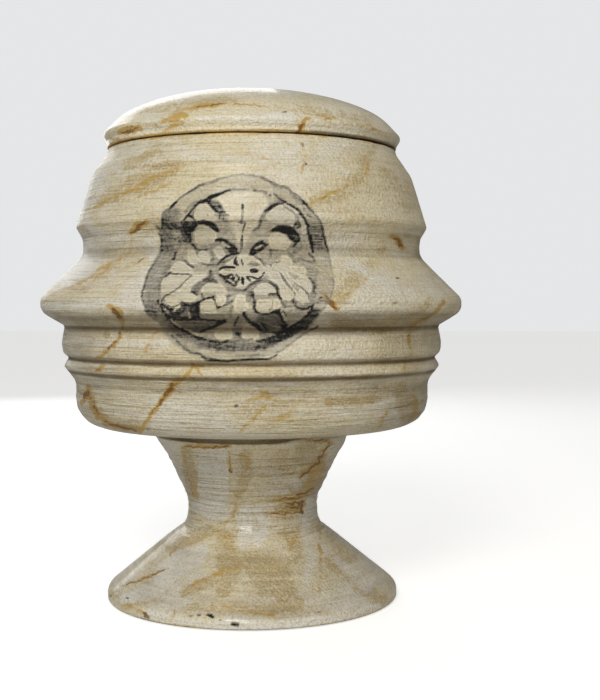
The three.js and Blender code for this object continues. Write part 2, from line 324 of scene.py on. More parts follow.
FOOT_STAIN = (
    (0.90, 8, (24, 26, 22), ((306, 452), (314, 472), (306, 494))),
    (0.75, 5, (12, 15), ((186, 452), (191, 474), (192, 500))),
    (0.65, 8, (14, 16, 10), ((246, 456), (245, 480), (238, 498))),
    (0.55, 14, (30, 40), ((286, 462), (276, 486))),
    (0.80, 5, (22, 26), ((284, 506), (296, 504))),
    (0.70, 13, (22, 28, 20), ((224, 542), (230, 562), (222, 590))),
    (0.58, 18, (26, 44, 30), ((252, 562), (270, 578), (286, 594))),
    (0.62, 13, (10, 22, 14), ((284, 530), (294, 546), (288, 570))),
    (0.70, 8, (12, 22, 14), ((158, 548), (184, 540), (208, 532))),
    (0.65, 8, (10, 16, 10), ((184, 594), (214, 580), (236, 570))),
    (0.60, 9, (12, 20, 12), ((108, 594), (130, 600), (150, 598))),
    (0.60, 9, (10, 16), ((190, 606), (246, 610), (300, 604))),
    (0.60, 9, (10, 16), ((326, 560), (352, 580), (380, 600))),
    (0.50, 9, (12, 18), ((322, 528), (350, 560))),
    (0.50, 8, (6, 10), ((140, 578), (166, 590))),
)
FOOT_PALE = (
    (1.00, 2.5, (26, 28, 30), ((213, 454), (213, 474), (213, 497))),
    (0.80, 5, (18, 20, 16), ((200, 506), (214, 510), (222, 514))),
    (0.90, 6, (14, 16, 8), ((244, 512), (246, 528), (243, 546))),
    (0.85, 6, (14, 16, 10), ((258, 512), (262, 526), (258, 543))),
    (0.90, 3, (10, 13, 10), ((310, 501), (308, 512), (303, 524))),
    (0.70, 9, (8, 13, 10), ((303, 530), (309, 552), (306, 584))),
    (0.95, 7, (10, 24, 14), ((158, 575), (178, 564), (204, 552))),
    (0.60, 7, (8, 12), ((176, 556), (206, 546))),
    (0.80, 5, (10, 16, 10), ((122, 600), (148, 592), (172, 580))),
    (0.80, 4, (5, 8, 5), ((150, 616), (230, 626), (320, 621), (380, 606))),
    (0.55, 7, (8, 14), ((338, 560), (366, 588))),
    (0.50, 7, (8, 12), ((262, 470), (296, 484))),
    (0.60, 6, (6, 10), ((256, 492), (282, 490))),
    (0.50, 8, (8, 14), ((116, 588), (140, 566))),
)
FOOT_PITS = (
    (0.95, 1.2, (2.5, 4, 2.5), ((208, 614.5), (211, 615.5), (213, 617))),
    (0.80, 1.5, (4, 4.5), ((233, 624), (237, 625))),
    (0.75, 1, (1.6, 1.6), ((198.5, 615), (200, 615))),
    (0.70, 1, (1.4, 1.4), ((190.5, 616), (191.5, 616))),
    (0.75, 1, (1.6, 1.6), ((126.5, 598), (128, 598))),
    (0.75, 1, (1.6, 1.6), ((109.5, 596), (111, 596))),
    (0.60, 1.2, (1.8, 2.6), ((146, 616.5), (148, 617.5))),
    (0.60, 1, (1.4, 1.4), ((219, 620), (220.5, 620))),
    (0.50, 1.2, (1.4, 1.4), ((318, 612), (320, 612))),
)

# The drawn medallion, in pixels of the photograph from the middle of its boss, x right and y up.
# Each layer covers those before it: positive tones are charcoal, negative ones cream body colour.
# A layer without widths is a filled shape.
MEDALLION_X = 241.5
MEDALLION_Y = 272.5
DRAWING_STRAY = 0.25
DRAWING_SEED = 31
FILL = ()
BAND_LAYERS = (
    (0.20, 4, FILL, ((-40, 88), (-20, 93), (5, 97), (25, 92), (45, 83), (60, 71), (79, 52), (82, 34),
        (88, 12), (92, -8), (88, -28), (70, -56), (40, -79), (5, -89), (-30, -88), (-52, -80), (-70, -62),
        (-90, -43), (-98, -28), (-96, -8), (-81, 18), (-79, 50), (-66, 70))),
    (0.55, 1.5, (1.6, 2, 1.6), ((-24, 93), (-12, 96), (3, 98), (20, 95.5))),
    (0.14, 5, (13, 13), ((-38, 79), (-20, 87), (5, 90), (22, 87), (38, 80))),
    (0.18, 5, (12, 12), ((38, 80), (52, 70), (62, 62), (70, 54))),
    (0.16, 5, (13, 14), ((-38, 79), (-50, 73), (-62, 62), (-68, 58))),
    (0.52, 6, (15, 17, 14), ((-69, 57), (-70, 44), (-71, 34), (-74, 22))),
    (0.62, 5, (9, 11, 8), ((-75, 55), (-75, 40), (-76, 26))),
    (0.35, 4, (5, 6), ((-65, 40), (-66, 30))),
    (0.78, 4, (5, 6, 5), ((-74, 46), (-66, 47), (-60, 44))),
    (0.34, 6, (14, 15, 14), ((-78, 14), (-85, 0), (-89, -14), (-89, -24))),
    (0.50, 5, (14, 12), ((-90, -34), (-84, -42))),
    (0.66, 5, (7, 7), ((-93, -37), (-86, -43))),
    (0.40, 5, (10, 12), ((-80, -44), (-72, -55))),
    (0.26, 5, (13, 14, 12), ((-72, -58), (-62, -68), (-46, -77))),
    (0.62, 4, (6, 8, 7), ((-76, -47), (-62, -60), (-42, -69))),
    (0.16, 5, (8, 9, 8), ((-40, -80), (-10, -81), (14, -80), (36, -76))),
    (0.66, 5, (8, 10, 9, 7), ((-42, -70), (-24, -73.5), (0, -74), (20, -73), (32, -70))),
    (0.30, 4, (13, 14, 12), ((73, 44), (75, 34), (79, 21))),
    (0.20, 5, (13, 15, 14), ((81, 14), (83, 0), (83, -14), (80, -24))),
    (0.88, 2.5, FILL, ((71, -36), (79, -37), (77, -43), (70, -51), (60, -58), (49, -65), (38, -70),
        (26, -71), (22, -68), (34, -65), (46, -58), (58, -50), (66, -43))),
    (0.72, 1.5, (1.6, 1.6), ((-25, -77), (-5, -78), (12, -77), (25, -76))),
    (0.55, 1.5, (1.5, 1.5), ((-6, -83), (8, -83), (18, -82))),
    (0.50, 2, (2.5, 2.5), ((-22, 93), (-31, 90), (-38, 88.5))),
    (0.72, 1.4, (2.5, 2), ((-38, 88), (-42, 87.5), (-46, 84.5), (-52, 80.5))),
    (0.70, 1.4, (1.5, 1.8), ((-52, 80.5), (-58, 77), (-63, 73), (-66, 70))),
    (0.92, 1.4, (2, 3, 2), ((-65, 70.5), (-68, 67.5), (-73, 63))),
    (0.60, 2, (2, 2.5), ((-73, 63), (-78, 60), (-79, 54))),
    (0.88, 1.5, (2, 2.5), ((-79, 54), (-79, 50), (-79.5, 44))),
    (0.82, 1.5, (2.5, 2), ((-82, 39), (-80, 36), (-80, 28), (-80, 20))),
    (0.90, 1.4, (1.5, 2.5), ((-85, 46.5), (-81, 42.5))),
    (0.55, 1.6, (2, 1.8), ((-80, 20), (-84, 14), (-88, 8))),
    (0.82, 1.4, (1.6, 1.8, 1.6), ((-88, 8), (-92, 2), (-95, -6), (-97, -14), (-99, -20), (-99, -27))),
    (0.66, 1.6, (1.8, 2.5), ((-99, -27), (-96, -33), (-95, -39), (-91, -43))),
    (0.70, 1.4, (1.2, 1.8), ((-92, -35), (-86, -35.5), (-82, -38))),
    (0.45, 1.6, (1.5, 1.5), ((-90, -43), (-80, -48), (-75, -52), (-71, -58), (-69, -63))),
    (0.88, 1.3, (1.5, 1.6), ((-69, -63), (-64, -69), (-58, -75), (-51, -80))),
    (0.75, 1.4, (1.6, 2), ((-51, -80), (-44, -80.5), (-38, -84))),
    (0.86, 1.6, (2, 3.5, 3), ((-40, -84), (-34, -87), (-27, -87.5))),
    (0.92, 1.3, (2.2, 2.2), ((-28, -87.5), (-16, -88.5), (-2, -87.5), (10, -87))),
    (0.92, 1.3, (2.5, 2.2, 1.5), ((8, -87), (20, -86.5), (29, -85.5), (35, -82))),
    (0.35, 1.6, (1.5, 2), ((36, -80), (44, -75), (52, -69), (62, -62), (70, -57))),
    (0.90, 1.3, (1.5, 2), ((63, -57), (67, -54))),
    (0.88, 1.3, (1.5, 2.2), ((69, -57), (73, -56), (76, -53.5))),
    (0.80, 1.4, (2, 2), ((20, 95), (26, 92.5), (31, 90))),
    (0.55, 2, (3, 2.5), ((31, 89), (37, 86.5), (42, 85.5))),
    (0.58, 1.8, (2.5, 2), ((42, 86), (47, 83.5), (50, 80.5))),
    (0.80, 1.4, (1.5, 1.8), ((50, 80), (57, 76), (61, 71.5), (66, 67.5))),
    (0.35, 2.5, (3, 4, 3), ((50, 78), (56, 74), (61, 69))),
    (0.92, 1.4, (2.2, 2), ((62, 70), (66, 67), (69, 63), (72, 60))),
    (0.70, 1.4, (1.2, 2), ((74, 57), (77, 54), (79, 50), (80.5, 46))),
    (0.90, 1.4, (2, 2.4, 2), ((80.5, 46), (81.5, 40), (83, 34), (84.5, 27), (86.5, 20))),
    (0.34, 1.6, (1.6, 1.6), ((86.5, 20), (88.5, 12), (90.5, 2), (92, -8), (92, -15), (90, -22))),
    (0.45, 1.6, (1.5, 1.5), ((90, -22), (87, -29), (83, -35), (79, -39))),
    (0.75, 1.4, (2, 1.5), ((78, -26), (80, -25))),
    (0.50, 1.6, (1.8, 1.5), ((75, -30), (80, -28.5), (86, -30))),
    (0.75, 1.5, (1.5, 1.5), ((66, 57.5), (69, 56))),
    (0.50, 1.5, (1.5, 1.5), ((62, 65), (64, 61))),
    (0.85, 1.5, (2, 2.5), ((-74, 46), (-70, 43.5))),
    (0.85, 1.5, (2, 2.5), ((-68, 47), (-65, 43.5))),
    (0.70, 1.8, (2, 2.5), ((-67, 33), (-62, 34.5), (-58, 33))),
    (0.35, 2, (2, 2), ((-73, 57), (-64, 55))),
)
HATCH_X = (67, 81)
HATCH_Y = (45.5, 43, 40, 37.5, 35, 32.5, 30, 27, 23.5)
HATCH_TONE = 0.80
INNER_LINE = (
    (0.70, 1.3, (1.2, 1.4), ((7, 83), (0, 83.2), (-7, 83.2), (-12, 82.6))),
    (0.98, 1.3, (1.8, 2.8), ((-11, 82.6), (-18, 80.5), (-25, 77.5))),
    (1.00, 1.5, (2.8, 5, 3), ((-24, 77.5), (-30, 76), (-33, 73), (-37, 71), (-41, 70.5))),
    (0.45, 2, (4, 5, 3), ((-45, 69.5), (-51, 66), (-56, 61))),
    (0.95, 1.3, (2.5, 1.8), ((-41, 70.5), (-46, 67), (-50, 62), (-53, 58), (-57, 54), (-60, 50))),
    (0.80, 1.5, (2, 2.5), ((-60, 50), (-60, 44), (-60, 38))),
    (0.95, 1.5, (3, 3), ((-62, 31), (-61, 29))),
    (0.45, 2, (3, 3), ((-61, 29), (-63, 24), (-66, 20))),
    (0.95, 1.4, (2.2, 2.8), ((-66, 20), (-67, 16), (-69, 12.5))),
    (0.50, 2, (3, 3.5), ((-69, 12), (-72, 8), (-76, 2))),
    (0.52, 2, (3.5, 3, 3), ((-76, 2), (-79, -5), (-82, -12), (-83, -18), (-82, -26))),
    (0.98, 1.3, (3, 3), ((-83.5, -28), (-83, -30))),
    (1.00, 1.4, (2.5, 3.2, 3), ((-81, -33), (-77, -40), (-73, -45), (-69, -50), (-65, -54))),
    (1.00, 1.4, (3, 3), ((-65, -54), (-60, -57), (-53, -60.5), (-47, -63.5), (-41, -66))),
    (0.90, 1.6, (3, 2.5), ((-41, -66), (-32, -68.5), (-24, -69.5), (-12, -69))),
    (0.70, 1.6, (2.5, 2), ((-12, -69), (0, -67.5), (10, -66.5))),
    (-0.55, 1.2, (1.2, 1.4), ((-70.5, -47), (-66, -51.5), (-61, -54.5))),
    (-0.50, 1.2, (1.2, 1.4), ((-57, -56), (-51, -59), (-44, -62.5))),
    (0.92, 1.4, (1.8, 1.8), ((13, 82.2), (15, 82))),
    (0.65, 1.4, (1.4, 1.4), ((15, 82), (21, 81.3), (26, 79.5))),
    (0.85, 1.4, (2, 2), ((28, 77.5), (29, 77))),
    (0.92, 1.4, (1.4, 2), ((32, 78.5), (38, 74), (42, 71.5), (46, 69.5))),
    (1.00, 1.3, (2, 2.8), ((44, 70.5), (52, 65.5), (58, 61), (60, 58.5))),
    (-0.45, 1.2, (1.2, 1.2), ((43, 68.5), (50, 64), (57, 59.5))),
    (1.00, 1.3, (2.5, 2.8), ((60, 58), (62, 55), (65, 49.5), (67.5, 46.5))),
    (-0.45, 1.5, (2.5, 3), ((59, 53), (62, 47), (63, 40))),
    (1.00, 1.3, (2.5, 3.4, 2.6), ((66, 45), (66, 42), (68, 38), (69, 33), (69.5, 28), (71.5, 21))),
    (0.80, 1.4, (1.5, 1.6), ((67, 19), (70, 16.5), (72, 14), (73, 11))),
    (0.35, 2, (2.5, 3), ((74, 10), (75, 2), (74.5, -5))),
    (0.98, 1.3, (2, 3), ((71.5, -32), (70, -37), (67, -41), (62, -46), (54, -52))),
    (1.00, 1.3, (2.6, 3), ((54, -52), (46, -57), (38, -62), (30, -65), (23, -67.5), (15, -69))),
)
FAN_LAYERS = (
    (0.22, 3, FILL, ((-60, 44), (-53, 58), (-41, 70), (-30, 75), (-18, 80), (0, 82.5), (20, 81), (38, 74),
        (58, 60), (67, 45), (69, 30), (73, 12), (74, -6), (71, -33), (54, -52), (30, -65), (0, -67),
        (-30, -68), (-60, -56), (-80, -32), (-82, -14), (-75, 2), (-63, 26))),
    (-0.12, 4, FILL, ((0, 80), (-18, 77), (-26, 73), (-17, 63), (-9, 50), (-3, 34), (0, 24), (4, 34),
        (14, 48), (22, 63), (30, 75), (18, 80))),
    (-0.50, 3, FILL, ((-45, 66), (-38, 68), (-31, 64), (-27, 58), (-27, 54), (-33, 53), (-40, 53.5),
        (-46, 56), (-47, 61))),
    (0.22, 4, (4, 6), ((23, 78), (28, 73), (31, 67))),
    (0.28, 3, (4, 5), ((-31, 74), (-25, 71), (-21, 67))),
    (0.55, 2, FILL, ((-35, 71), (-29, 72), (-24, 70), (-20, 66), (-18, 61), (-22, 60), (-27, 62),
        (-31, 66))),
    (0.92, 1.4, (2, 3, 2), ((-34, 70.5), (-30, 66.5), (-26, 62), (-22, 60.5), (-17, 60.5))),
    (0.80, 1.4, (1.5, 2.4), ((-24, 70), (-21, 66), (-19, 62))),
    (0.50, 1.5, (1.5, 1.8), ((-40, 70), (-45, 67), (-47, 62), (-49, 56))),
    (0.45, 1.5, (2, 2), ((-34.5, 57.5), (-33.5, 57))),
    (0.88, 1.4, (2, 1.6), ((-54, 57), (-49.5, 56), (-47, 52))),
    (0.60, 1.5, (1.5, 2.4, 1.5), ((-27, 57), (-20, 57.8), (-12, 57.3))),
    (0.88, 1.4, (2, 1.8), ((-21.5, 56.5), (-22, 54))),
    (0.80, 1.5, (2.2, 2), ((-17.5, 57), (-18, 53), (-14.5, 51))),
    (0.24, 4, (6, 8, 5), ((-20, 50), (-14, 42), (-9, 34))),
    (0.97, 1.3, (2.8, 2.6), ((1, 67), (1, 62.5))),
    (0.45, 1.8, (3, 2.5), ((1, 62.5), (0.5, 52))),
    (0.97, 1.3, (3, 2.6), ((-0.7, 50.3), (0.8, 49.8))),
    (0.90, 1.2, (1.8, 1.8), ((3.3, 50.6), (4, 50.2))),
    (0.66, 1.4, (2, 1.6), ((3.4, 49), (2, 44), (0.8, 40))),
    (0.96, 1.3, (1.6, 2.8, 2), ((0.6, 37), (0.4, 31), (0, 26.5))),
    (0.66, 1.4, (1.8, 1.5), ((0, 26), (-0.2, 21))),
    (-0.50, 3, FILL, ((25, 58), (28, 62), (34, 66), (40, 66), (47, 61), (52, 57), (53, 52), (47, 51),
        (38, 51), (30, 53))),
    (0.50, 2, (3, 4, 5.5), ((18.5, 50), (21.5, 56.5), (26, 62), (32, 67), (38, 70.5))),
    (0.90, 1.5, (2.4, 3.4, 2.6), ((24, 61), (28, 64.5), (34, 67.5), (38, 69))),
    (0.66, 1.5, (2.2, 2), ((20, 51), (18, 46.5), (15, 43.5), (12.5, 42))),
    (0.88, 1.5, (3, 3.4, 2), ((38, 70), (42, 69), (48, 66.5), (55, 63.5))),
    (0.42, 2.5, (4, 6, 5), ((44, 67), (51, 62.5), (58, 59.5))),
    (0.30, 3, (5, 6), ((54, 59), (56, 53), (56, 50))),
    (0.62, 1.5, FILL, ((52, 46), (54, 49), (57, 51.5), (60, 50), (58, 46.5), (55, 44.5))),
    (0.95, 1.3, (1.6, 2.2, 1.8), ((52.5, 47), (56, 51), (59.5, 50.5), (59, 47), (55.5, 44.5))),
)
SCROLL_LAYERS = (
    (0.72, 3, FILL, ((-61, 45), (-50, 44), (-49, 38), (-50, 31), (-57, 32), (-60, 38))),
    (-0.55, 2, FILL, ((-48, 38), (-45, 43), (-41, 45.5), (-36, 45.5), (-31, 43), (-27, 40), (-26, 35),
        (-29, 31), (-35, 29), (-41, 29), (-46, 33))),
    (0.30, 2, (3, 2), ((-47.5, 33), (-47.5, 39), (-44, 44), (-38, 45.5))),
    (1.00, 1.5, FILL, ((-60, 47), (-57, 52), (-52, 51), (-45, 51.5), (-38, 52.8), (-31, 51.3), (-27, 49),
        (-24, 46), (-22, 41), (-25, 40.5), (-29, 43), (-33, 46), (-38, 48), (-43, 47.5), (-46, 45),
        (-48, 41), (-52, 39.5), (-57, 42))),
    (0.88, 2, (6, 5, 3), ((-56, 44), (-53, 38), (-50.5, 33))),
    (0.85, 1.5, (2, 2.5), ((-60, 34), (-57, 31), (-53, 30.5))),
    (0.30, 2.5, FILL, ((-50, 32), (-46, 27), (-40, 28), (-32, 27), (-24, 29), (-17, 26), (-13, 20),
        (-17, 13), (-22, 9), (-28, 8), (-31, 12), (-29, 18), (-33, 23), (-38, 24), (-44, 23), (-48, 27))),
    (-0.20, 3, (8, 7), ((-23, 22), (-20, 17))),
    (0.86, 1.5, (2.2, 2.8, 2.4), ((-51, 31.5), (-48, 26.5), (-44, 22.8), (-39, 22), (-33, 23))),
    (0.62, 1.5, (2.2, 1.2), ((-45.5, 22), (-44.5, 14.5))),
    (0.50, 1.8, (2.2, 2.6, 2.4), ((-33, 23), (-29.5, 20), (-28.5, 15), (-31, 11))),
    (-0.40, 2.5, (7, 8), ((-50, 18), (-48, 13))),
    (-0.55, 2.5, (7, 9), ((-39, 18), (-37, 13.5))),
    (0.36, 2, (2.5, 2.5), ((-55, 23.5), (-58, 19))),
    (0.66, 1.6, (2.6, 3, 2.6), ((-39, 10), (-35, 7.5), (-29, 7), (-23, 7.8))),
    (0.92, 1.4, (2, 2.8, 2), ((-24, 8), (-20, 12), (-15, 16), (-9, 18.5))),
    (0.84, 1.4, (1.6, 2.2, 1.8), ((-23, 8), (-17, 10.5), (-12, 12), (-8.5, 15.5))),
    (0.45, 2, (3, 1.6), ((-61, 15.5), (-56, 11.5))),
    (0.80, 1.4, (1.4, 2.2, 1.6), ((-57, 12.5), (-53, 8), (-48, 5))),
    (0.84, 1.5, FILL, ((-25, 33), (-19, 34), (-13, 30), (-8, 27), (-4, 19), (-8, 17.5), (-13, 22),
        (-17, 28), (-22, 30.5))),
    (1.00, 1.3, (3, 3.6, 3), ((-25, 32), (-20, 33), (-14.5, 30.3), (-10, 27))),
    (1.00, 1.3, (2.6, 3, 2.4), ((-15, 25), (-11, 21), (-7, 18), (-3, 19))),
    (1.00, 1.3, (2.6, 2.4), ((-8, 27), (-5.5, 23), (-3.5, 19))),
    (-0.25, 1.6, (2, 1.5), ((-19, 30), (-12, 25))),
    (0.55, 1.8, (1.6, 2), ((25, 39.5), (29, 41.5))),
    (1.00, 1.5, FILL, ((28, 41), (31, 44), (36, 47.3), (42, 47.8), (48, 47), (53, 44), (57, 39),
        (59.5, 34), (58, 30.5), (54, 29), (51, 31), (48, 33), (45, 38), (40, 39.5), (34, 41))),
    (0.80, 2, (4, 5), ((51, 39), (54, 34))),
    (-0.55, 2, FILL, ((29, 35), (33, 38.5), (38, 38.8), (43, 36), (47, 32), (48, 28), (44, 24),
        (38, 23.5), (31, 25), (29, 30))),
    (0.34, 2.5, FILL, ((48, 28), (52, 30), (58, 29), (60, 25), (56, 20), (50, 22), (47, 24))),
    (0.90, 1.5, (3, 2.4), ((54, 29), (52, 26.5))),
    (0.45, 1.6, (2, 2), ((60, 30), (59.5, 24.5), (55.5, 20.5))),
    (0.85, 1.4, (2.2, 2.2), ((52, 20.2), (53.4, 20))),
    (0.28, 3, FILL, ((18, 20), (24, 24), (30, 22.5), (38, 22), (46, 22), (50, 17), (50, 10), (40, 17),
        (34, 9), (26, 4), (20, 10))),
    (-0.50, 2.5, FILL, ((38, 14), (44, 16), (49, 12), (49, 6), (45, 1), (38, 2), (34, 8))),
    (0.66, 1.6, (2.4, 1.6, 1.4), ((29, 22), (36, 22), (44, 21.5))),
    (0.70, 1.6, (2.6, 2.4), ((29, 22), (29.5, 17))),
    (0.42, 1.6, (1.6, 1.6), ((32, 20), (39, 12))),
    (0.42, 1.6, (1.6, 1.6), ((35, 20), (40, 14))),
    (0.60, 1.8, (2.6, 3, 2), ((27, 3), (31, 6.5), (35, 10), (38, 11))),
    (0.48, 2, (2.6, 3.4, 2.4, 2), ((46, 22), (50, 17), (53, 12), (59, 13.5), (66, 11), (73, 9))),
    (0.46, 2.5, FILL, ((49, 19), (52, 10), (60, 12), (54, 14))),
    (0.30, 3, FILL, ((60, 9), (72, 9), (74, 2), (73, -5), (66, -6), (64, 2))),
    (-0.20, 3, (6, 8), ((52, 3), (60, 1))),
    (0.78, 1.5, FILL, ((8, 17), (12, 26), (19, 31), (27, 29), (20, 22))),
    (1.00, 1.3, (3, 3.2, 2.4), ((9, 18), (11, 23), (15, 28), (21, 31))),
    (1.00, 1.3, (3.2, 3, 2.2), ((8.5, 17.5), (14, 20), (20, 23.5), (26.5, 28.5))),
    (0.95, 1.3, (1.6, 2), ((15, 25), (19, 28), (25, 29))),
    (-0.30, 1.4, (1.4, 1.4), ((14, 24), (20, 27))),
    (0.90, 1.4, (2.4, 2, 1.6), ((13, 16.5), (18, 13), (22, 8), (25, 2.5))),
)
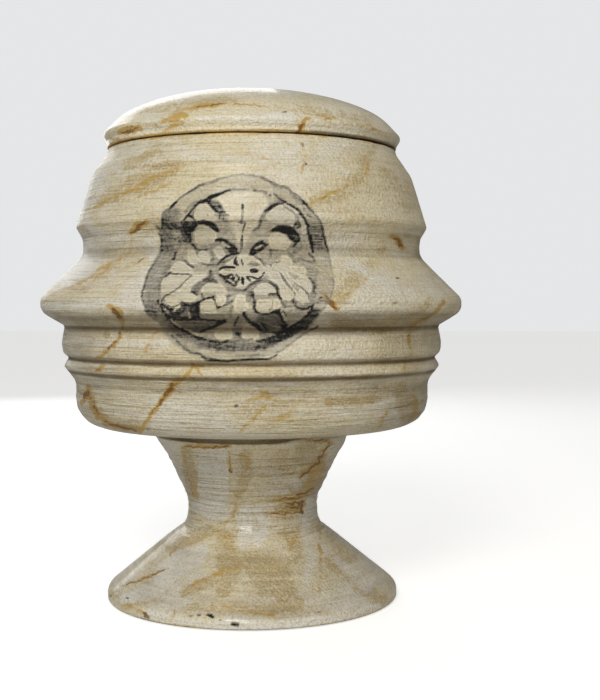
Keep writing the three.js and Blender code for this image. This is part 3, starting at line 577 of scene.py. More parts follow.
SIDE_LEAF_LAYERS = (
    (-0.55, 2.5, FILL, ((-70, 4), (-66, 9), (-62, 10), (-57, 8), (-52, 4), (-50, 1), (-58, 0), (-68, 1))),
    (0.34, 2.5, (3, 3, 2), ((-75, 0), (-71, 7), (-65, 12), (-60, 13))),
    (-0.62, 2.5, FILL, ((-70, -4), (-60, -3), (-52, -4), (-54, -7), (-60, -12), (-66, -18), (-72, -20),
        (-78, -18), (-79, -10), (-76, -5))),
    (-0.20, 3, FILL, ((-50, -3), (-43, -3), (-36, -2), (-45, -9), (-54, -14), (-60, -18))),
    (0.92, 1.4, (2.8, 2), ((-76, -3.5), (-73, -1.5), (-71, 0))),
    (0.66, 1.4, (1.8, 1.8), ((-71, -1), (-60, -1.5), (-52, -2))),
    (0.60, 1.4, (1.5, 2), ((-50, -3), (-56, -8), (-61, -13), (-66, -18), (-70, -20))),
    (0.95, 1.4, (2, 2.4), ((-70, -20.5), (-75, -23), (-79.5, -28.5))),
    (-0.65, 2.5, FILL, ((-76, -26), (-70, -22), (-63, -21), (-55, -16), (-50, -20), (-46, -24),
        (-50, -28), (-56, -28), (-60, -28), (-63, -33), (-68, -34), (-73, -32), (-77, -29))),
    (0.98, 1.4, (2.4, 3, 2.6), ((-80, -31), (-75, -35), (-70, -37.5), (-65, -37.5))),
    (0.66, 1.3, (1.4, 1.6), ((-77, -28), (-71, -34), (-65, -33.5), (-60, -28.5))),
    (0.86, 2, FILL, ((-60, -29), (-50, -31), (-41, -29), (-41, -38), (-42, -47), (-55, -48), (-70, -46),
        (-74, -42), (-70, -38), (-63, -37))),
    (0.45, 2.5, (4, 5), ((-59, -42), (-54, -41))),
    (-0.35, 1.4, (1.6, 1.6), ((-53, -41), (-51.5, -46))),
    (-0.35, 1.4, (1.5, 1.5), ((-67, -38.5), (-62, -34))),
    (1.00, 1.5, (4, 4.5, 4), ((-44, -31), (-43, -38), (-42.5, -46))),
    (0.98, 1.4, (2, 2.5, 2), ((-75, -47), (-60, -47.3), (-40, -46.8), (-28, -48), (-16, -48.5))),
    (0.58, 2.5, FILL, ((-68, -50), (-40, -49), (-16, -49), (-22, -53), (-32, -57), (-41, -61), (-50, -60),
        (-58, -57))),
    (0.98, 1.5, FILL, ((-23, -47), (-15, -46.5), (-14.5, -50), (-22, -53), (-26, -52.5))),
    (1.00, 1.4, (2.6, 3, 2.2), ((-22, -52), (-31, -55.8), (-41, -59))),
    (0.36, 3, FILL, ((-41, -61), (-30, -58), (-25, -62), (-26, -67), (-38, -65))),
    (-0.45, 2.5, FILL, ((-25, -60), (-20, -57), (-12, -56), (-10, -60), (-12, -65), (-20, -66.5),
        (-26, -63))),
    (0.46, 2.5, FILL, ((-10, -56), (0, -55), (1, -66), (-8, -67))),
    (0.85, 2, (3.5, 3), ((-4, -60), (-2.5, -64))),
    (0.64, 2, FILL, ((-50, -19), (-49, -14), (-44, -10), (-38, -7), (-34, -4), (-31, 0), (-29, -1),
        (-27, -6), (-23, -10), (-29, -10), (-35, -11), (-40, -15), (-44, -20), (-47, -22))),
    (0.92, 1.8, (3, 5, 3), ((-37, -7.5), (-31, -7.5), (-25, -10))),
    (0.92, 1.4, (2.4, 2.6), ((-50, -19.5), (-45, -21.5))),
    (0.80, 1.6, (2, 2.4), ((-31, -7), (-31.5, -2), (-31, 1.5))),
    (-0.50, 2.5, FILL, ((-38, -16), (-34, -12.5), (-28, -11.5), (-23, -12.5), (-19, -16), (-16, -20),
        (-20, -22), (-26, -22), (-33, -25), (-38, -22))),
    (0.26, 3, (5, 6), ((-35, -22), (-28, -23.5))),
    (0.80, 1.5, (2.6, 2.6), ((-40, -22), (-38.5, -26.5))),
    (1.00, 1.3, (2.4, 2.2), ((-42, -29.5), (-38, -27), (-34, -25.8), (-27.5, -24.5))),
    (0.92, 1.5, (2.4, 3, 2.6), ((-27, -26), (-26.5, -30), (-24, -35.5))),
    (0.95, 1.3, (2, 2), ((-24, -35), (-20, -33.2), (-15, -32))),
    (0.62, 2, (3, 3.4, 2.6), ((-16, -30.5), (-13, -25), (-11, -20))),
    (0.70, 1.6, (2.4, 2), ((-14, -31), (-9.5, -29), (-6, -24), (-4.5, -21))),
    (-0.50, 2.5, FILL, ((-40.5, -31), (-37, -29), (-30, -28), (-27.5, -31), (-26, -36), (-27, -40),
        (-33, -40), (-40, -40))),
    (-0.45, 2, FILL, ((-25, -26), (-20, -24), (-17, -25), (-16, -29), (-20, -31.5), (-24, -31))),
    (-0.90, 1.2, (2, 2.4), ((-22.5, -32), (-19, -31.5))),
    (0.34, 3, (4, 5), ((-40, -43), (-20, -44))),
    (0.26, 3, (5, 7), ((-12, -20), (-2, -21))),
    (-0.35, 3, FILL, ((-6, -25), (-1, -23), (5, -26), (5, -36), (-1, -40), (-6, -36))),
    (0.55, 2, (2.4, 2.4), ((-9, -34), (-11, -43))),
    (1.00, 1.5, (3, 4.4, 3.6), ((-2.5, -44.5), (-4, -48), (-6.5, -52))),
    (0.34, 2.5, (4, 6), ((0, -42), (-3, -54))),
    (0.58, 2, FILL, ((19, -6.5), (24, -5.5), (30, -8.5), (35, -11), (38.5, -15), (37.5, -20.5), (35, -19),
        (32, -14), (27, -10.5), (20, -10.5), (14, -14), (11, -18), (9, -14), (13, -9))),
    (0.90, 1.4, (2, 3, 2.4), ((28, -9.5), (33, -14), (36, -20.5))),
    (0.56, 2.5, (4, 6, 5), ((10, -13), (8.5, -20), (6, -27))),
    (-0.72, 2, FILL, ((14, -16.5), (18, -12.5), (24, -11.5), (29, -13), (33, -16.5), (34, -20),
        (28, -20.5), (20, -21.5), (14, -20.5))),
    (0.28, 3, (6, 7), ((15, -25), (31, -25))),
    (0.92, 1.3, (2, 2.2), ((27, -21.7), (34, -21.6))),
    (1.00, 1.3, (2.2, 3, 2.6), ((36, -21), (38.5, -25), (40.5, -29), (43.5, -34))),
    (-0.58, 2.5, FILL, ((18, -28.5), (26, -28.5), (31, -28.5), (30, -34), (26, -38.5), (19, -38.5),
        (15, -34))),
    (-0.42, 2, FILL, ((32, -28), (37.5, -27.5), (38.5, -33), (33, -35))),
    (0.40, 2, (2, 2.4), ((31, -28), (31, -33), (28, -37))),
    (0.92, 1.8, (3, 3.2), ((11, -21), (12, -27), (13.5, -33))),
    (1.00, 1.3, (2.4, 2.4), ((12.5, -35), (15, -39.5), (19, -41.5))),
    (1.00, 1.3, (2.4, 3, 3), ((20, -41.8), (27, -42), (32, -39.5), (37, -38))),
    (0.60, 2.5, FILL, ((18, -43), (32, -41), (38, -45), (43, -50), (46, -52), (44, -58), (36, -60),
        (26, -59), (20, -55), (10, -50))),
    (1.00, 1.4, FILL, ((31, -38.5), (38, -36), (40, -41), (42, -46), (45, -51), (41, -50), (38, -45),
        (34, -41.5))),
    (-0.60, 1.2, (1.2, 1.4), ((40.5, -40), (43, -44), (44, -47.5))),
    (0.92, 1.3, (1.4, 1.8), ((41.5, -39), (44.5, -43.5))),
    (0.97, 1.6, FILL, ((40, -52), (47, -51), (45, -57), (39, -58))),
    (0.30, 2, (2.4, 2.4), ((26, -51), (37, -55))),
    (1.00, 1.4, (3.4, 4, 4), ((2.5, -41), (5, -46), (9, -50), (14, -53), (19.5, -58))),
    (0.92, 1.4, (2, 2.4), ((20, -50), (23, -54), (25, -57.5))),
    (0.97, 1.3, (2.2, 2.4, 2), ((20, -58.5), (28, -59.5), (36, -60), (43, -57))),
    (-0.42, 2.5, FILL, ((6, -52), (12, -56), (17, -60), (15, -65), (8, -66), (2, -65), (2, -57))),
    (0.40, 2.5, (4, 5), ((19, -62), (29, -62.5))),
    (-0.35, 2, (6, 8, 8), ((26, 4), (38, -7), (46, -22))),
    (-0.35, 2, (6, 8, 8), ((33, 6), (47, -8), (60, -25))),
    (-0.35, 3, FILL, ((29, 1), (36, 0), (40, -6), (38, -10), (30, -7))),
    (0.38, 2, (2.4, 4, 3), ((39, -1), (43, -8), (48, -15))),
    (0.60, 1.4, (1.6, 2), ((38, 0.5), (42, -5), (46, -11), (50.5, -17), (53, -22), (51.5, -27),
        (48.5, -29.5))),
    (-0.62, 2, FILL, ((40, -18), (44, -14.5), (47, -16.5), (51, -20.5), (51.5, -24), (48, -27), (42, -26),
        (40, -23))),
    (0.38, 2.5, (4, 5), ((42, -29), (49, -31))),
    (0.30, 2.5, (4, 4), ((52, -13), (56, -18), (56, -22))),
    (-0.62, 2, FILL, ((54, -10), (58, -6), (64, -5), (68, -10), (70, -14), (69, -18.5), (64, -16.5),
        (58, -12))),
    (-0.68, 2, FILL, ((57, -20), (62, -19), (66, -24), (67, -29), (63, -30), (58, -28), (55, -25))),
    (0.62, 1.4, (1.6, 2), ((52, -10), (58, -13.5), (62, -17), (66, -22), (68, -28))),
    (0.38, 2.5, (4, 5, 5), ((73, -8), (72, -20), (70.5, -30))),
    (0.82, 1.4, (2, 2.8, 2.2), ((68, -5), (71, -9), (73, -14), (72, -19))),
    (0.42, 2.5, (4, 5), ((54, -29), (60, -33), (66, -32))),
    (0.94, 1.3, (2, 2.4, 2.2), ((52, -28), (54, -33), (58, -36), (63, -36.5), (68, -34.5), (71, -33))),
    (0.66, 1.4, (1.6, 1.8), ((43, -33.5), (48, -34.2), (53, -33))),
)
BOSS_LAYERS = (
    (0.30, 3, (3, 4, 3), ((-20, 8), (-24, 0), (-18, -9))),
    (0.30, 3, (3, 4, 3), ((-14, -16), (0, -18.5), (14, -14))),
    (-0.25, 2, FILL, ((-22, 2), (-16, 8), (-8, 14), (0, 17), (8, 17), (16, 13), (23, 6), (24, 0),
        (18, -6), (8, -13), (-4, -14), (-14, -9))),
    (0.45, 1.5, (1.4, 1.6), ((-21, 4), (-16, 10), (-9, 15), (-4, 18))),
    (1.00, 1.3, (2, 3, 2.6), ((-22, 3), (-18, 5), (-14, 6), (-7, 4.5))),
    (0.35, 2, (2, 2.4), ((-17, 2.5), (-10, 2))),
    (0.95, 1.3, (2.2, 2.6), ((-22, -2.5), (-16, -4), (-10, -2))),
    (1.00, 1.3, (2.2, 3, 2.4), ((-21, -2), (-18, -5), (-15, -8), (-11, -11), (-7, -13))),
    (0.92, 1.3, (1.8, 2.2, 1.8), ((-15, -7), (-12, -4.5), (-9.5, -8), (-6.5, -4))),
    (0.95, 1.3, (2, 2.6), ((-8.5, -3), (-7, -8), (-5, -12))),
    (0.90, 1.3, (2, 2.2), ((-5.5, -2), (-3, -4), (-4, -9))),
    (1.00, 1.3, (2.6, 3.6, 2.6), ((0.8, -5), (1, -7.5), (1.2, -11))),
    (0.75, 1.5, (3, 3), ((6, -6), (9, -8))),
    (0.94, 1.3, (1.8, 2.4, 2), ((4.5, -4), (9, -3.6), (13, -5), (17, -6.5), (20, -4), (22.5, 0.5))),
    (-0.80, 1.2, (1.2, 1.6), ((9, -2), (14, -2.8), (19, -2.5))),
    (0.80, 1.5, FILL, ((-5, 14), (-7.5, 8.5), (-2, 5), (-3, 9))),
    (0.96, 1.2, (2, 2.2, 1.8), ((-5, 15), (-7, 9.5), (-2, 5.5))),
    (0.92, 1.2, (1.6, 2.2), ((0, 13), (1.8, 6.5))),
    (0.45, 2, FILL, ((6, 7), (8, 12), (14, 12), (19, 8), (16, 6), (9, 5))),
    (0.55, 1.4, (1.4, 1.6), ((6, 8), (12, 8.5), (18, 7))),
    (0.92, 1.5, FILL, ((7, 1), (9, 4), (14, 4.5), (18, 2.5), (16, -0.5), (10, -0.8))),
    (0.60, 1.6, (2.4, 2.6), ((-14, -16), (-5, -17.5), (4, -17.5))),
    (0.78, 1.5, (2.6, 3, 2.4), ((4, -17), (9, -12), (14, -9), (20, -7))),
    (0.50, 1.5, (1.6, 2), ((-13, -12), (-20, -7))),
    (-0.75, 2, (6, 8), ((-3.5, 2.5), (4, 2.5))),
)


def srgb(red, green, blue):
    """A screen colour, 0 to 255, as linear values."""
    return tuple(((c / 255 + 0.055) / 1.055) ** 2.4 for c in (red, green, blue))


# What settings of one kind have in common
COLOR = {"subtype": "COLOR", "size": 3, "min": 0, "max": 1}
POWER = {"unit": "POWER", "min": 0}
SEED = {
    "name": "Seed",
    "description": "Start of the brush's straying and of the random patches round the back",
    "min": 0,
}
WOBBLE = {
    "name": "Wobble",
    "description": "How far the hand finished surface strays inwards",
    "unit": "LENGTH",
    "min": 0,
    "max": 0.002,
}


class PaintSettings(PropertyGroup):
    """Colours of the painted marble, shared by the three pieces."""

    cream: FloatVectorProperty(
        name="Cream",
        description="Warm ground of the painted marble",
        default=srgb(216, 204, 170),
        **COLOR,
    )
    pale: FloatVectorProperty(
        name="Pale",
        description="Whitish patches of the ground",
        default=srgb(222, 217, 204),
        **COLOR,
    )
    beige: FloatVectorProperty(
        name="Beige",
        description="Broad darker stains of the ground",
        default=srgb(190, 171, 126),
        **COLOR,
    )
    ochre: FloatVectorProperty(
        name="Ochre",
        description="Veins and blots",
        default=srgb(186, 150, 72),
        **COLOR,
    )
    umber: FloatVectorProperty(
        name="Umber",
        description="Dark cores of the veins",
        default=srgb(124, 84, 26),
        **COLOR,
    )
    # Colour of the painted shade and the dirt in the grooves, under the mouldings and at the joints
    grime_and_shade: FloatVectorProperty(
        name="Grime And Shade",
        description="Dirt settled in the grooves",
        default=srgb(106, 86, 44),
        **COLOR,
    )
    clay: FloatVectorProperty(
        name="Clay",
        description="Bare fired clay of the insides",
        default=srgb(176, 150, 116),
        **COLOR,
    )
    gloss: FloatProperty(
        name="Varnish Gloss",
        description="How much of a second, glossier layer the varnish has",
        subtype="FACTOR",
        min=0,
        max=1,
        default=0.22,
    )


class FootSettings(PropertyGroup):
    """The pedestal foot."""

    ridge: FloatProperty(
        name="Ridge Depth",
        description="Average depth of the turning ridges round the neck",
        unit="LENGTH",
        min=0,
        max=0.001,
        default=0.0004,
    )
    wobble: FloatProperty(default=0.0006, **WOBBLE)
    filler: FloatProperty(
        name="Filler Rise",
        description="How far the collar is built up on the side where the joint is closed",
        unit="LENGTH",
        min=0,
        max=0.0049,
        default=0.0047,
    )
    seed: IntProperty(default=21, **SEED)


class VesselSettings(PropertyGroup):
    """The vessel and its drawn medallion."""

    ridge: FloatProperty(
        name="Ridge Depth",
        description="Average depth of the turning ridges on the drum",
        unit="LENGTH",
        min=0,
        max=0.001,
        default=0.00026,
    )
    wobble: FloatProperty(default=0.0007, **WOBBLE)
    filler: FloatProperty(
        name="Seam Filler",
        description="How far the rim is built up under the lid",
        unit="LENGTH",
        min=0,
        max=0.0003,
        default=0.00028,
    )
    ink: FloatVectorProperty(
        name="Charcoal",
        description="Black of the medallion",
        default=srgb(6, 5, 4),
        **COLOR,
    )
    wash: FloatVectorProperty(
        name="Grey Wash",
        description="Thin grey of the medallion",
        default=srgb(132, 126, 112),
        **COLOR,
    )
    body: FloatVectorProperty(
        name="Body Color",
        description="Light body colour of the medallion's leaves",
        default=srgb(218, 211, 188),
        **COLOR,
    )
    seed: IntProperty(default=8, **SEED)


class LidSettings(PropertyGroup):
    """The domed lid."""

    tilt: FloatProperty(
        name="Tilt",
        description="How far the lid's edge leans down to its right",
        subtype="ANGLE",
        min=0,
        max=math.radians(1),
        default=math.radians(0.4),
    )
    wobble: FloatProperty(default=0.0006, **WOBBLE)
    seed: IntProperty(default=5, **SEED)


class StageSettings(PropertyGroup):
    """Floor, lights and camera."""

    key: FloatProperty(
        name="Key Light",
        description="Power of the large soft light, up and to the left in front",
        default=8.3,
        **POWER,
    )
    window: FloatProperty(
        name="Window Light",
        description="Power of the cool light from the left",
        default=0.8,
        **POWER,
    )
    fill: FloatProperty(
        name="Fill Light",
        description="Power of the weak warm light from the right",
        default=1.0,
        **POWER,
    )
    front: FloatProperty(
        name="Front Light",
        description="Power of the low light from in front",
        default=2.6,
        **POWER,
    )
    back: FloatProperty(
        name="Back Light",
        description="Power of the soft light from behind",
        default=5.5,
        **POWER,
    )
    sky: FloatProperty(
        name="Room Light",
        description="Strength of the even light all round",
        min=0,
        default=0.23,
    )
    backdrop: FloatProperty(
        name="Backdrop",
        description="Brightness of the backdrop",
        min=0,
        default=0.80,
    )
    lift: FloatProperty(
        name="Floor Lift",
        description="Brightness added to the floor as the camera sees it",
        min=0,
        default=0.62,
    )
    floor: FloatVectorProperty(
        name="Floor",
        description="Colour of the plain floor",
        default=(0.60, 0.595, 0.575),
        **COLOR,
    )


# Outlines of the pieces


def node_outline(name, from_top):
    """A CAD node's outline as [radius, height] in millimetres, from the axis outside to the axis inside."""
    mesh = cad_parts[name].data
    places = np.array([vertex.co for vertex in mesh.vertices]) / MM
    flat = (np.abs(places[:, 1]) < ON_PLANE) & (places[:, 0] > -ON_PLANE)
    corners = {}
    for edge in mesh.edges:
        if not all(flat[i] for i in edge.vertices):
            continue
        first, second = (tuple(np.round(places[i, [0, 2]], 2) + 0.0) for i in edge.vertices)
        if first != second:
            corners.setdefault(first, set()).add(second)
            corners.setdefault(second, set()).add(first)
    axis = sorted((c for c in corners if c[0] < ON_PLANE), key=lambda c: c[1])
    outline = [axis[-1] if from_top else axis[0]]
    while True:
        onward = [c for c in corners[outline[-1]] if c not in outline[-2:]]
        if not onward:
            break
        outline.append(onward[0])
        if onward[0] in axis:
            break
    return np.array(outline)


def bent_line(start, lead, end, follow, length, share):
    """Points from start to end on a curve that sets off along lead and arrives along follow."""
    return (
        start * (2 * share**3 - 3 * share**2 + 1)
        + lead * length * (share**3 - 2 * share**2 + share)
        + end * (3 * share**2 - 2 * share**3)
        + follow * length * (share**3 - share**2)
    )


def smoothed(outline):
    """A dense curve through the outline's corners, with round arcs and slightly worn sharp edges."""
    edges = np.diff(outline, axis=0)
    lengths = np.linalg.norm(edges, axis=1)
    ways = edges / lengths[:, None]
    knots, leads = [outline[0]], [np.array([1.0, 0.0])]
    for i in range(1, len(outline) - 1):
        before, after = ways[i - 1], ways[i]
        turn = math.acos(float(np.clip(before @ after, -1, 1)))
        if turn > SHARP_TURN:
            reach = min(EDGE_ROUND, 0.4 * lengths[i - 1], 0.4 * lengths[i])
            for share in np.linspace(0, 1, 5):
                lead = before * (1 - share) + after * share
                knots.append(outline[i] - before * reach * (1 - share) ** 2 + after * reach * share**2)
                leads.append(lead / np.linalg.norm(lead))
        else:
            lead = before * lengths[i - 1] ** 2 + after * lengths[i] ** 2
            knots.append(outline[i])
            leads.append(lead / np.linalg.norm(lead))
    knots.append(outline[-1])
    leads.append(np.array([-1.0, 0.0]))
    curve = [knots[0][None]]
    for start, end, lead, follow in zip(knots, knots[1:], leads, leads[1:]):
        chord = np.linalg.norm(end - start)
        share = np.linspace(0, 1, max(2, math.ceil(chord / CURVE_STEP) + 1))[1:, None]
        curve.append(bent_line(start, lead, end, follow, chord, share))
    curve = np.concatenate(curve)
    curve[:, 0] = np.clip(curve[:, 0], 0, outline[:, 0].max() - 0.05)
    curve[:, 1] = np.clip(curve[:, 1], outline[:, 1].min(), outline[:, 1].max())
    return curve


def outline_rows(curve, row_height):
    """Rows along the curve, row_height(radius, height) millimetres apart, or closer where it bends."""
    edges = np.diff(curve, axis=0)
    steps = np.maximum(np.linalg.norm(edges, axis=1), 1e-6)
    heading = np.unwrap(np.arctan2(edges[:, 1], edges[:, 0]))
    bends = np.abs(np.diff(heading, prepend=heading[0]))
    middle = (curve[1:] + curve[:-1]) / 2
    inside = turned_inside(curve)[1:]
    heights = np.where(inside, INSIDE_ROW, row_height(middle[:, 0], middle[:, 1]))
    passed = np.concatenate([[0], np.cumsum(np.maximum(steps / heights, bends / ROW_BEND))])
    marks = np.linspace(0, passed[-1], math.ceil(passed[-1]) + 1)
    travel = np.concatenate([[0], np.cumsum(steps)])
    rows = np.stack([np.interp(marks, passed, curve[:, k]) for k in (0, 1)], axis=1)
    return rows, np.interp(marks, passed, travel)


def turned_inside(curve):
    """True from where the curve has passed the edge between the outside of its piece and the inside."""
    climbs = curve[0, 1] < curve[len(curve) // 4, 1]
    edge = np.argmax(curve[:, 1]) if climbs else np.argmin(curve[:, 1])
    return np.arange(len(curve)) > edge


def column_turns(*spans):
    """Turns of the columns in radians, anticlockwise seen from above, alike on both sides of the front.

    Each span is the turn in degrees at which it ends, counted from the front, and its step in degrees.
    """
    ends = [end for end, step in spans]
    steps = [step for end, step in spans]
    stops = [-ends[0], *ends, *(360 - end for end in ends[-2::-1])]
    turns = [
        np.linspace(start, end, max(1, round((end - start) / step)), endpoint=False)
        for start, end, step in zip(stops, stops[1:], [*steps, *steps[:0:-1]])
    ]
    return np.radians(np.concatenate(turns)) + VIEW_TURN


class Shell:
    """A piece's surface as a grid of rows along its outline and columns round it, in millimetres."""

    def __init__(self, name, from_top, row_height, columns):
        self.name = name
        self.from_top = from_top
        curve = smoothed(node_outline(name, from_top))
        rows, travel = outline_rows(curve, row_height)
        self.turn = np.broadcast_to(columns[None, :], (len(rows), len(columns))).copy()
        self.radius = np.broadcast_to(rows[:, :1], self.turn.shape).copy()
        self.height = np.broadcast_to(rows[:, 1:], self.turn.shape).copy()
        self.travel = np.broadcast_to(travel[:, None], self.turn.shape)
        ahead = np.gradient(rows, axis=0)
        ahead /= np.maximum(np.linalg.norm(ahead, axis=1, keepdims=True), 1e-9)
        side = -1 if from_top else 1
        self.out = side * np.stack([ahead[:, 1], -ahead[:, 0]], axis=1)[:, None, :]
        inside = turned_inside(curve)
        edge = np.linalg.norm(np.diff(curve, axis=0), axis=1)[: int(np.argmax(inside)) - 1].sum()
        self.outside = self.travel <= edge
        self.groove = self.groove_depth(rows, travel)[:, None] * np.ones_like(self.turn)
        self.marks = {}

    def groove_depth(self, rows, travel):
        """How deep each row lies below the outline's run to both sides of it, 0 to 1."""
        depth = np.zeros(len(rows))
        for i, place in enumerate(rows):
            below = rows[(travel > travel[i] - GROOVE_REACH) & (travel < travel[i] - 1)]
            above = rows[(travel > travel[i] + 1) & (travel < travel[i] + GROOVE_REACH)]
            if len(below) and len(above):
                rise = (below.mean(0) + above.mean(0)) / 2 - place
                depth[i] = rise @ self.out[i, 0] / GROOVE_FULL
        return np.clip(depth, 0, 1)

    def sink(self, depth):
        """Moves the surface inwards by depth in millimetres."""
        self.radius -= depth * self.out[..., 0]
        self.height -= depth * self.out[..., 1]

    def aside(self):
        """Turn from the front in degrees, from -180 to 180."""
        return np.degrees((self.turn - VIEW_TURN + math.pi) % TURN - math.pi)

    def noise(self, cells, pitch, seed):
        """Smooth noise over the shell, from -1 to 1."""
        return turned_noise(self.turn, self.travel, cells, pitch, seed)

    def wander(self, depth, cells, pitch, seed):
        """Lets the outside stray inwards, by up to depth in metres."""
        self.sink((1 + self.noise(cells, pitch, seed)) * depth / MM / 2 * self.outside)

    def cut_ridges(self, depth, waves, share):
        """Cuts turning ridges into the outside, depth metres deep on average where share is 1."""
        ridges = sum(self.noise(*wave) for wave in waves)
        self.sink((2 + ridges) * depth / MM / 2 * share * self.outside)

    def settle_dirt_and_shade(self, *amounts):
        """Deepens the groove mark, which paints shade and dirt, to the largest of the amounts."""
        self.marks["groove"] = np.maximum.reduce([self.marks["groove"], *amounts])

    def spun(self, outward, upward):
        """What an outline says outward and upward, turned round to each column."""
        sine, cosine = np.sin(self.turn), np.cos(self.turn)
        return np.stack([outward * sine, -outward * cosine, upward * np.ones_like(sine)], axis=-1)

    def points(self):
        """Places of the grid's corners, in millimetres."""
        return self.spun(self.radius, self.height)

    def facing(self):
        """Cosine between the surface's outward direction and the way to the viewing point."""
        out = self.spun(self.out[..., 0], self.out[..., 1])
        way = VIEW_POINT - self.points()
        return (out * way).sum(-1) / np.linalg.norm(way, axis=-1)

    def build(self, material):
        """The shell as a Blender object with its marks as vertex attributes."""
        places = self.points()
        rows, columns = self.turn.shape
        flat = np.concatenate([places[:1, 0], places[1:-1].reshape(-1, 3), places[-1:, 0]])
        flat[[0, -1], :2] = 0
        ring = 1 + np.arange((rows - 2) * columns).reshape(rows - 2, columns)
        after = np.roll(ring, -1, axis=1)
        quads = np.stack([ring[:-1], after[:-1], after[1:], ring[1:]], axis=-1).reshape(-1, 4)
        last = len(flat) - 1
        first_cap = [(0, b, a) for a, b in zip(ring[0], after[0])]
        last_cap = [(last, a, b) for a, b in zip(ring[-1], after[-1])]
        faces = [*first_cap, *quads.tolist(), *last_cap]
        if self.from_top:
            faces = [face[::-1] for face in faces]
        mesh = bpy.data.meshes.new(self.name + "_painted")
        mesh.from_pydata((flat * MM).tolist(), [], faces)
        mesh.shade_smooth()
        for mark, field in self.marks.items():
            values = np.concatenate([[field[0].mean()], field[1:-1].ravel(), [field[-1].mean()]])
            stored = mesh.attributes.new(mark, "FLOAT", "POINT")
            stored.data.foreach_set("value", values.astype(np.float32))
        mesh.materials.append(material)
        piece = bpy.data.objects.new(self.name + "_painted", mesh)
        bpy.context.scene.collection.objects.link(piece)
        return piece


def smooth_step(value, low, high):
    """Rises smoothly from 0 at low to 1 at high."""
    share = np.clip((value - low) / (high - low), 0, 1)
    return share * share * (3 - 2 * share)


def turned_noise(turn, along, cells, pitch, seed):
    """Smooth noise from -1 to 1, with so many cells in a turn and one for each pitch along the outline."""
    across = (turn / TURN * cells) % cells
    up = (along - along.min()) / pitch
    lattice = np.random.default_rng(seed).uniform(-1, 1, (cells, int(up.max()) + 3))
    column, row = np.floor(across).astype(int) % cells, np.floor(up).astype(int)
    right, rise = smooth_step(across - np.floor(across), 0, 1), smooth_step(up - np.floor(up), 0, 1)
    beside = (column + 1) % cells
    low = lattice[column, row] * (1 - right) + lattice[beside, row] * right
    high = lattice[column, row + 1] * (1 - right) + lattice[beside, row + 1] * right
    return low * (1 - rise) + high * rise


# Painting


def view_axes():
    """Right, up and forward of the viewing point."""
    turn, level = VIEW_HEADING, math.cos(VIEW_PITCH)
    forward = np.array([math.sin(turn) * level, math.cos(turn) * level, math.sin(VIEW_PITCH)])
    right = np.array([math.cos(turn), -math.sin(turn), 0.0])
    return right, np.cross(right, forward), forward


VIEW_POINT = np.array(
    [VIEW_DISTANCE * math.sin(VIEW_TURN), -VIEW_DISTANCE * math.cos(VIEW_TURN), VIEW_HEIGHT]
)


def pixels(points):
    """Where points show in the photograph's frame, in pixels."""
    right, up, forward = view_axes()
    focal = LENS / SENSOR * max(PICTURE_WIDTH, PICTURE_HEIGHT)
    ahead = points - VIEW_POINT
    depth = ahead @ forward
    return (
        PICTURE_WIDTH / 2 + focal * (ahead @ right) / depth,
        PICTURE_HEIGHT / 2 - focal * (ahead @ up) / depth,
    )


def brushed_path(points, wander, rng):
    """The points joined by a smooth line that strays a little, as a brush does."""
    knots = np.array(points, float)
    if len(knots) < 3 and not wander:
        return knots
    lengths = np.linalg.norm(np.diff(knots, axis=0), axis=1)
    run = np.concatenate([[0], np.cumsum(np.maximum(lengths, 1e-3))])
    leads = np.gradient(knots, run, axis=0)
    marks = np.unique(np.concatenate([run, np.linspace(0, run[-1], math.ceil(run[-1] / PATH_STEP) + 1)]))
    part = np.clip(np.searchsorted(run, marks, side="right") - 1, 0, len(run) - 2)
    length = (run[part + 1] - run[part])[:, None]
    share = ((marks - run[part]) / length[:, 0])[:, None]
    path = bent_line(knots[part], leads[part], knots[part + 1], leads[part + 1], length, share)
    return path + rng.normal(0, wander, path.shape) if wander else path


def from_line(x, y, start, end):
    """Distance of places from the straight line between two points, and how far along it they are."""
    way = end - start
    share = np.clip(((x - start[0]) * way[0] + (y - start[1]) * way[1]) / (way @ way), 0, 1)
    return np.hypot(x - start[0] - share * way[0], y - start[1] - share * way[1]), share


def beyond_edge(x, y, corners):
    """Distance inside a closed shape's edge, negative outside it."""
    inside = np.zeros(x.shape, bool)
    gap = np.full(x.shape, np.inf)
    for start, end in zip(corners, np.roll(corners, -1, axis=0)):
        gap = np.minimum(gap, from_line(x, y, start, end)[0])
        crosses = (start[1] > y) != (end[1] > y)
        run, rise = end - start
        inside ^= crosses & (x < start[0] + (y - start[1]) * run / (rise or 1e-9))
    return np.where(inside, gap, -gap)


def covered(across, up, stroke, spread=1.0, wander=0.0, rng=None):
    """Which places a stroke is near, and how fully it covers them, 0 to 1."""
    tone, softness, widths, points = stroke
    filled = widths == FILL
    softness *= spread * (BODY_SOFT if tone < 0 and filled else 1)
    path = np.array(points, float) if filled else brushed_path(points, wander, rng)
    widths = widths or (0,)
    halves = np.interp(np.linspace(0, 1, len(path)), np.linspace(0, 1, len(widths)), widths) / 2
    reach = halves.max() + softness
    low, high = path.min(0) - reach, path.max(0) + reach
    near = (across > low[0]) & (across < high[0]) & (up > low[1]) & (up < high[1])
    x, y = across[near], up[near]
    if filled:
        inside = beyond_edge(x, y, path)
    else:
        inside = np.full(x.shape, -reach)
        for start, end, half, next_half in zip(path, path[1:], halves, halves[1:]):
            gap, share = from_line(x, y, start, end)
            inside = np.maximum(inside, half + (next_half - half) * share - gap)
    return near, smooth_step(inside, -softness / 2, softness / 2)


def painted(across, up, strokes, spread=1.0, wander=0.0, seed=0):
    """How strongly the strokes cover each place: 0 beside them, their own tone on them."""
    rng = np.random.default_rng(seed)
    cover = np.zeros(across.shape)
    for stroke in strokes:
        near, share = covered(across, up, stroke, spread, wander, rng)
        cover[near] = np.maximum(cover[near], stroke[0] * share)
    return cover


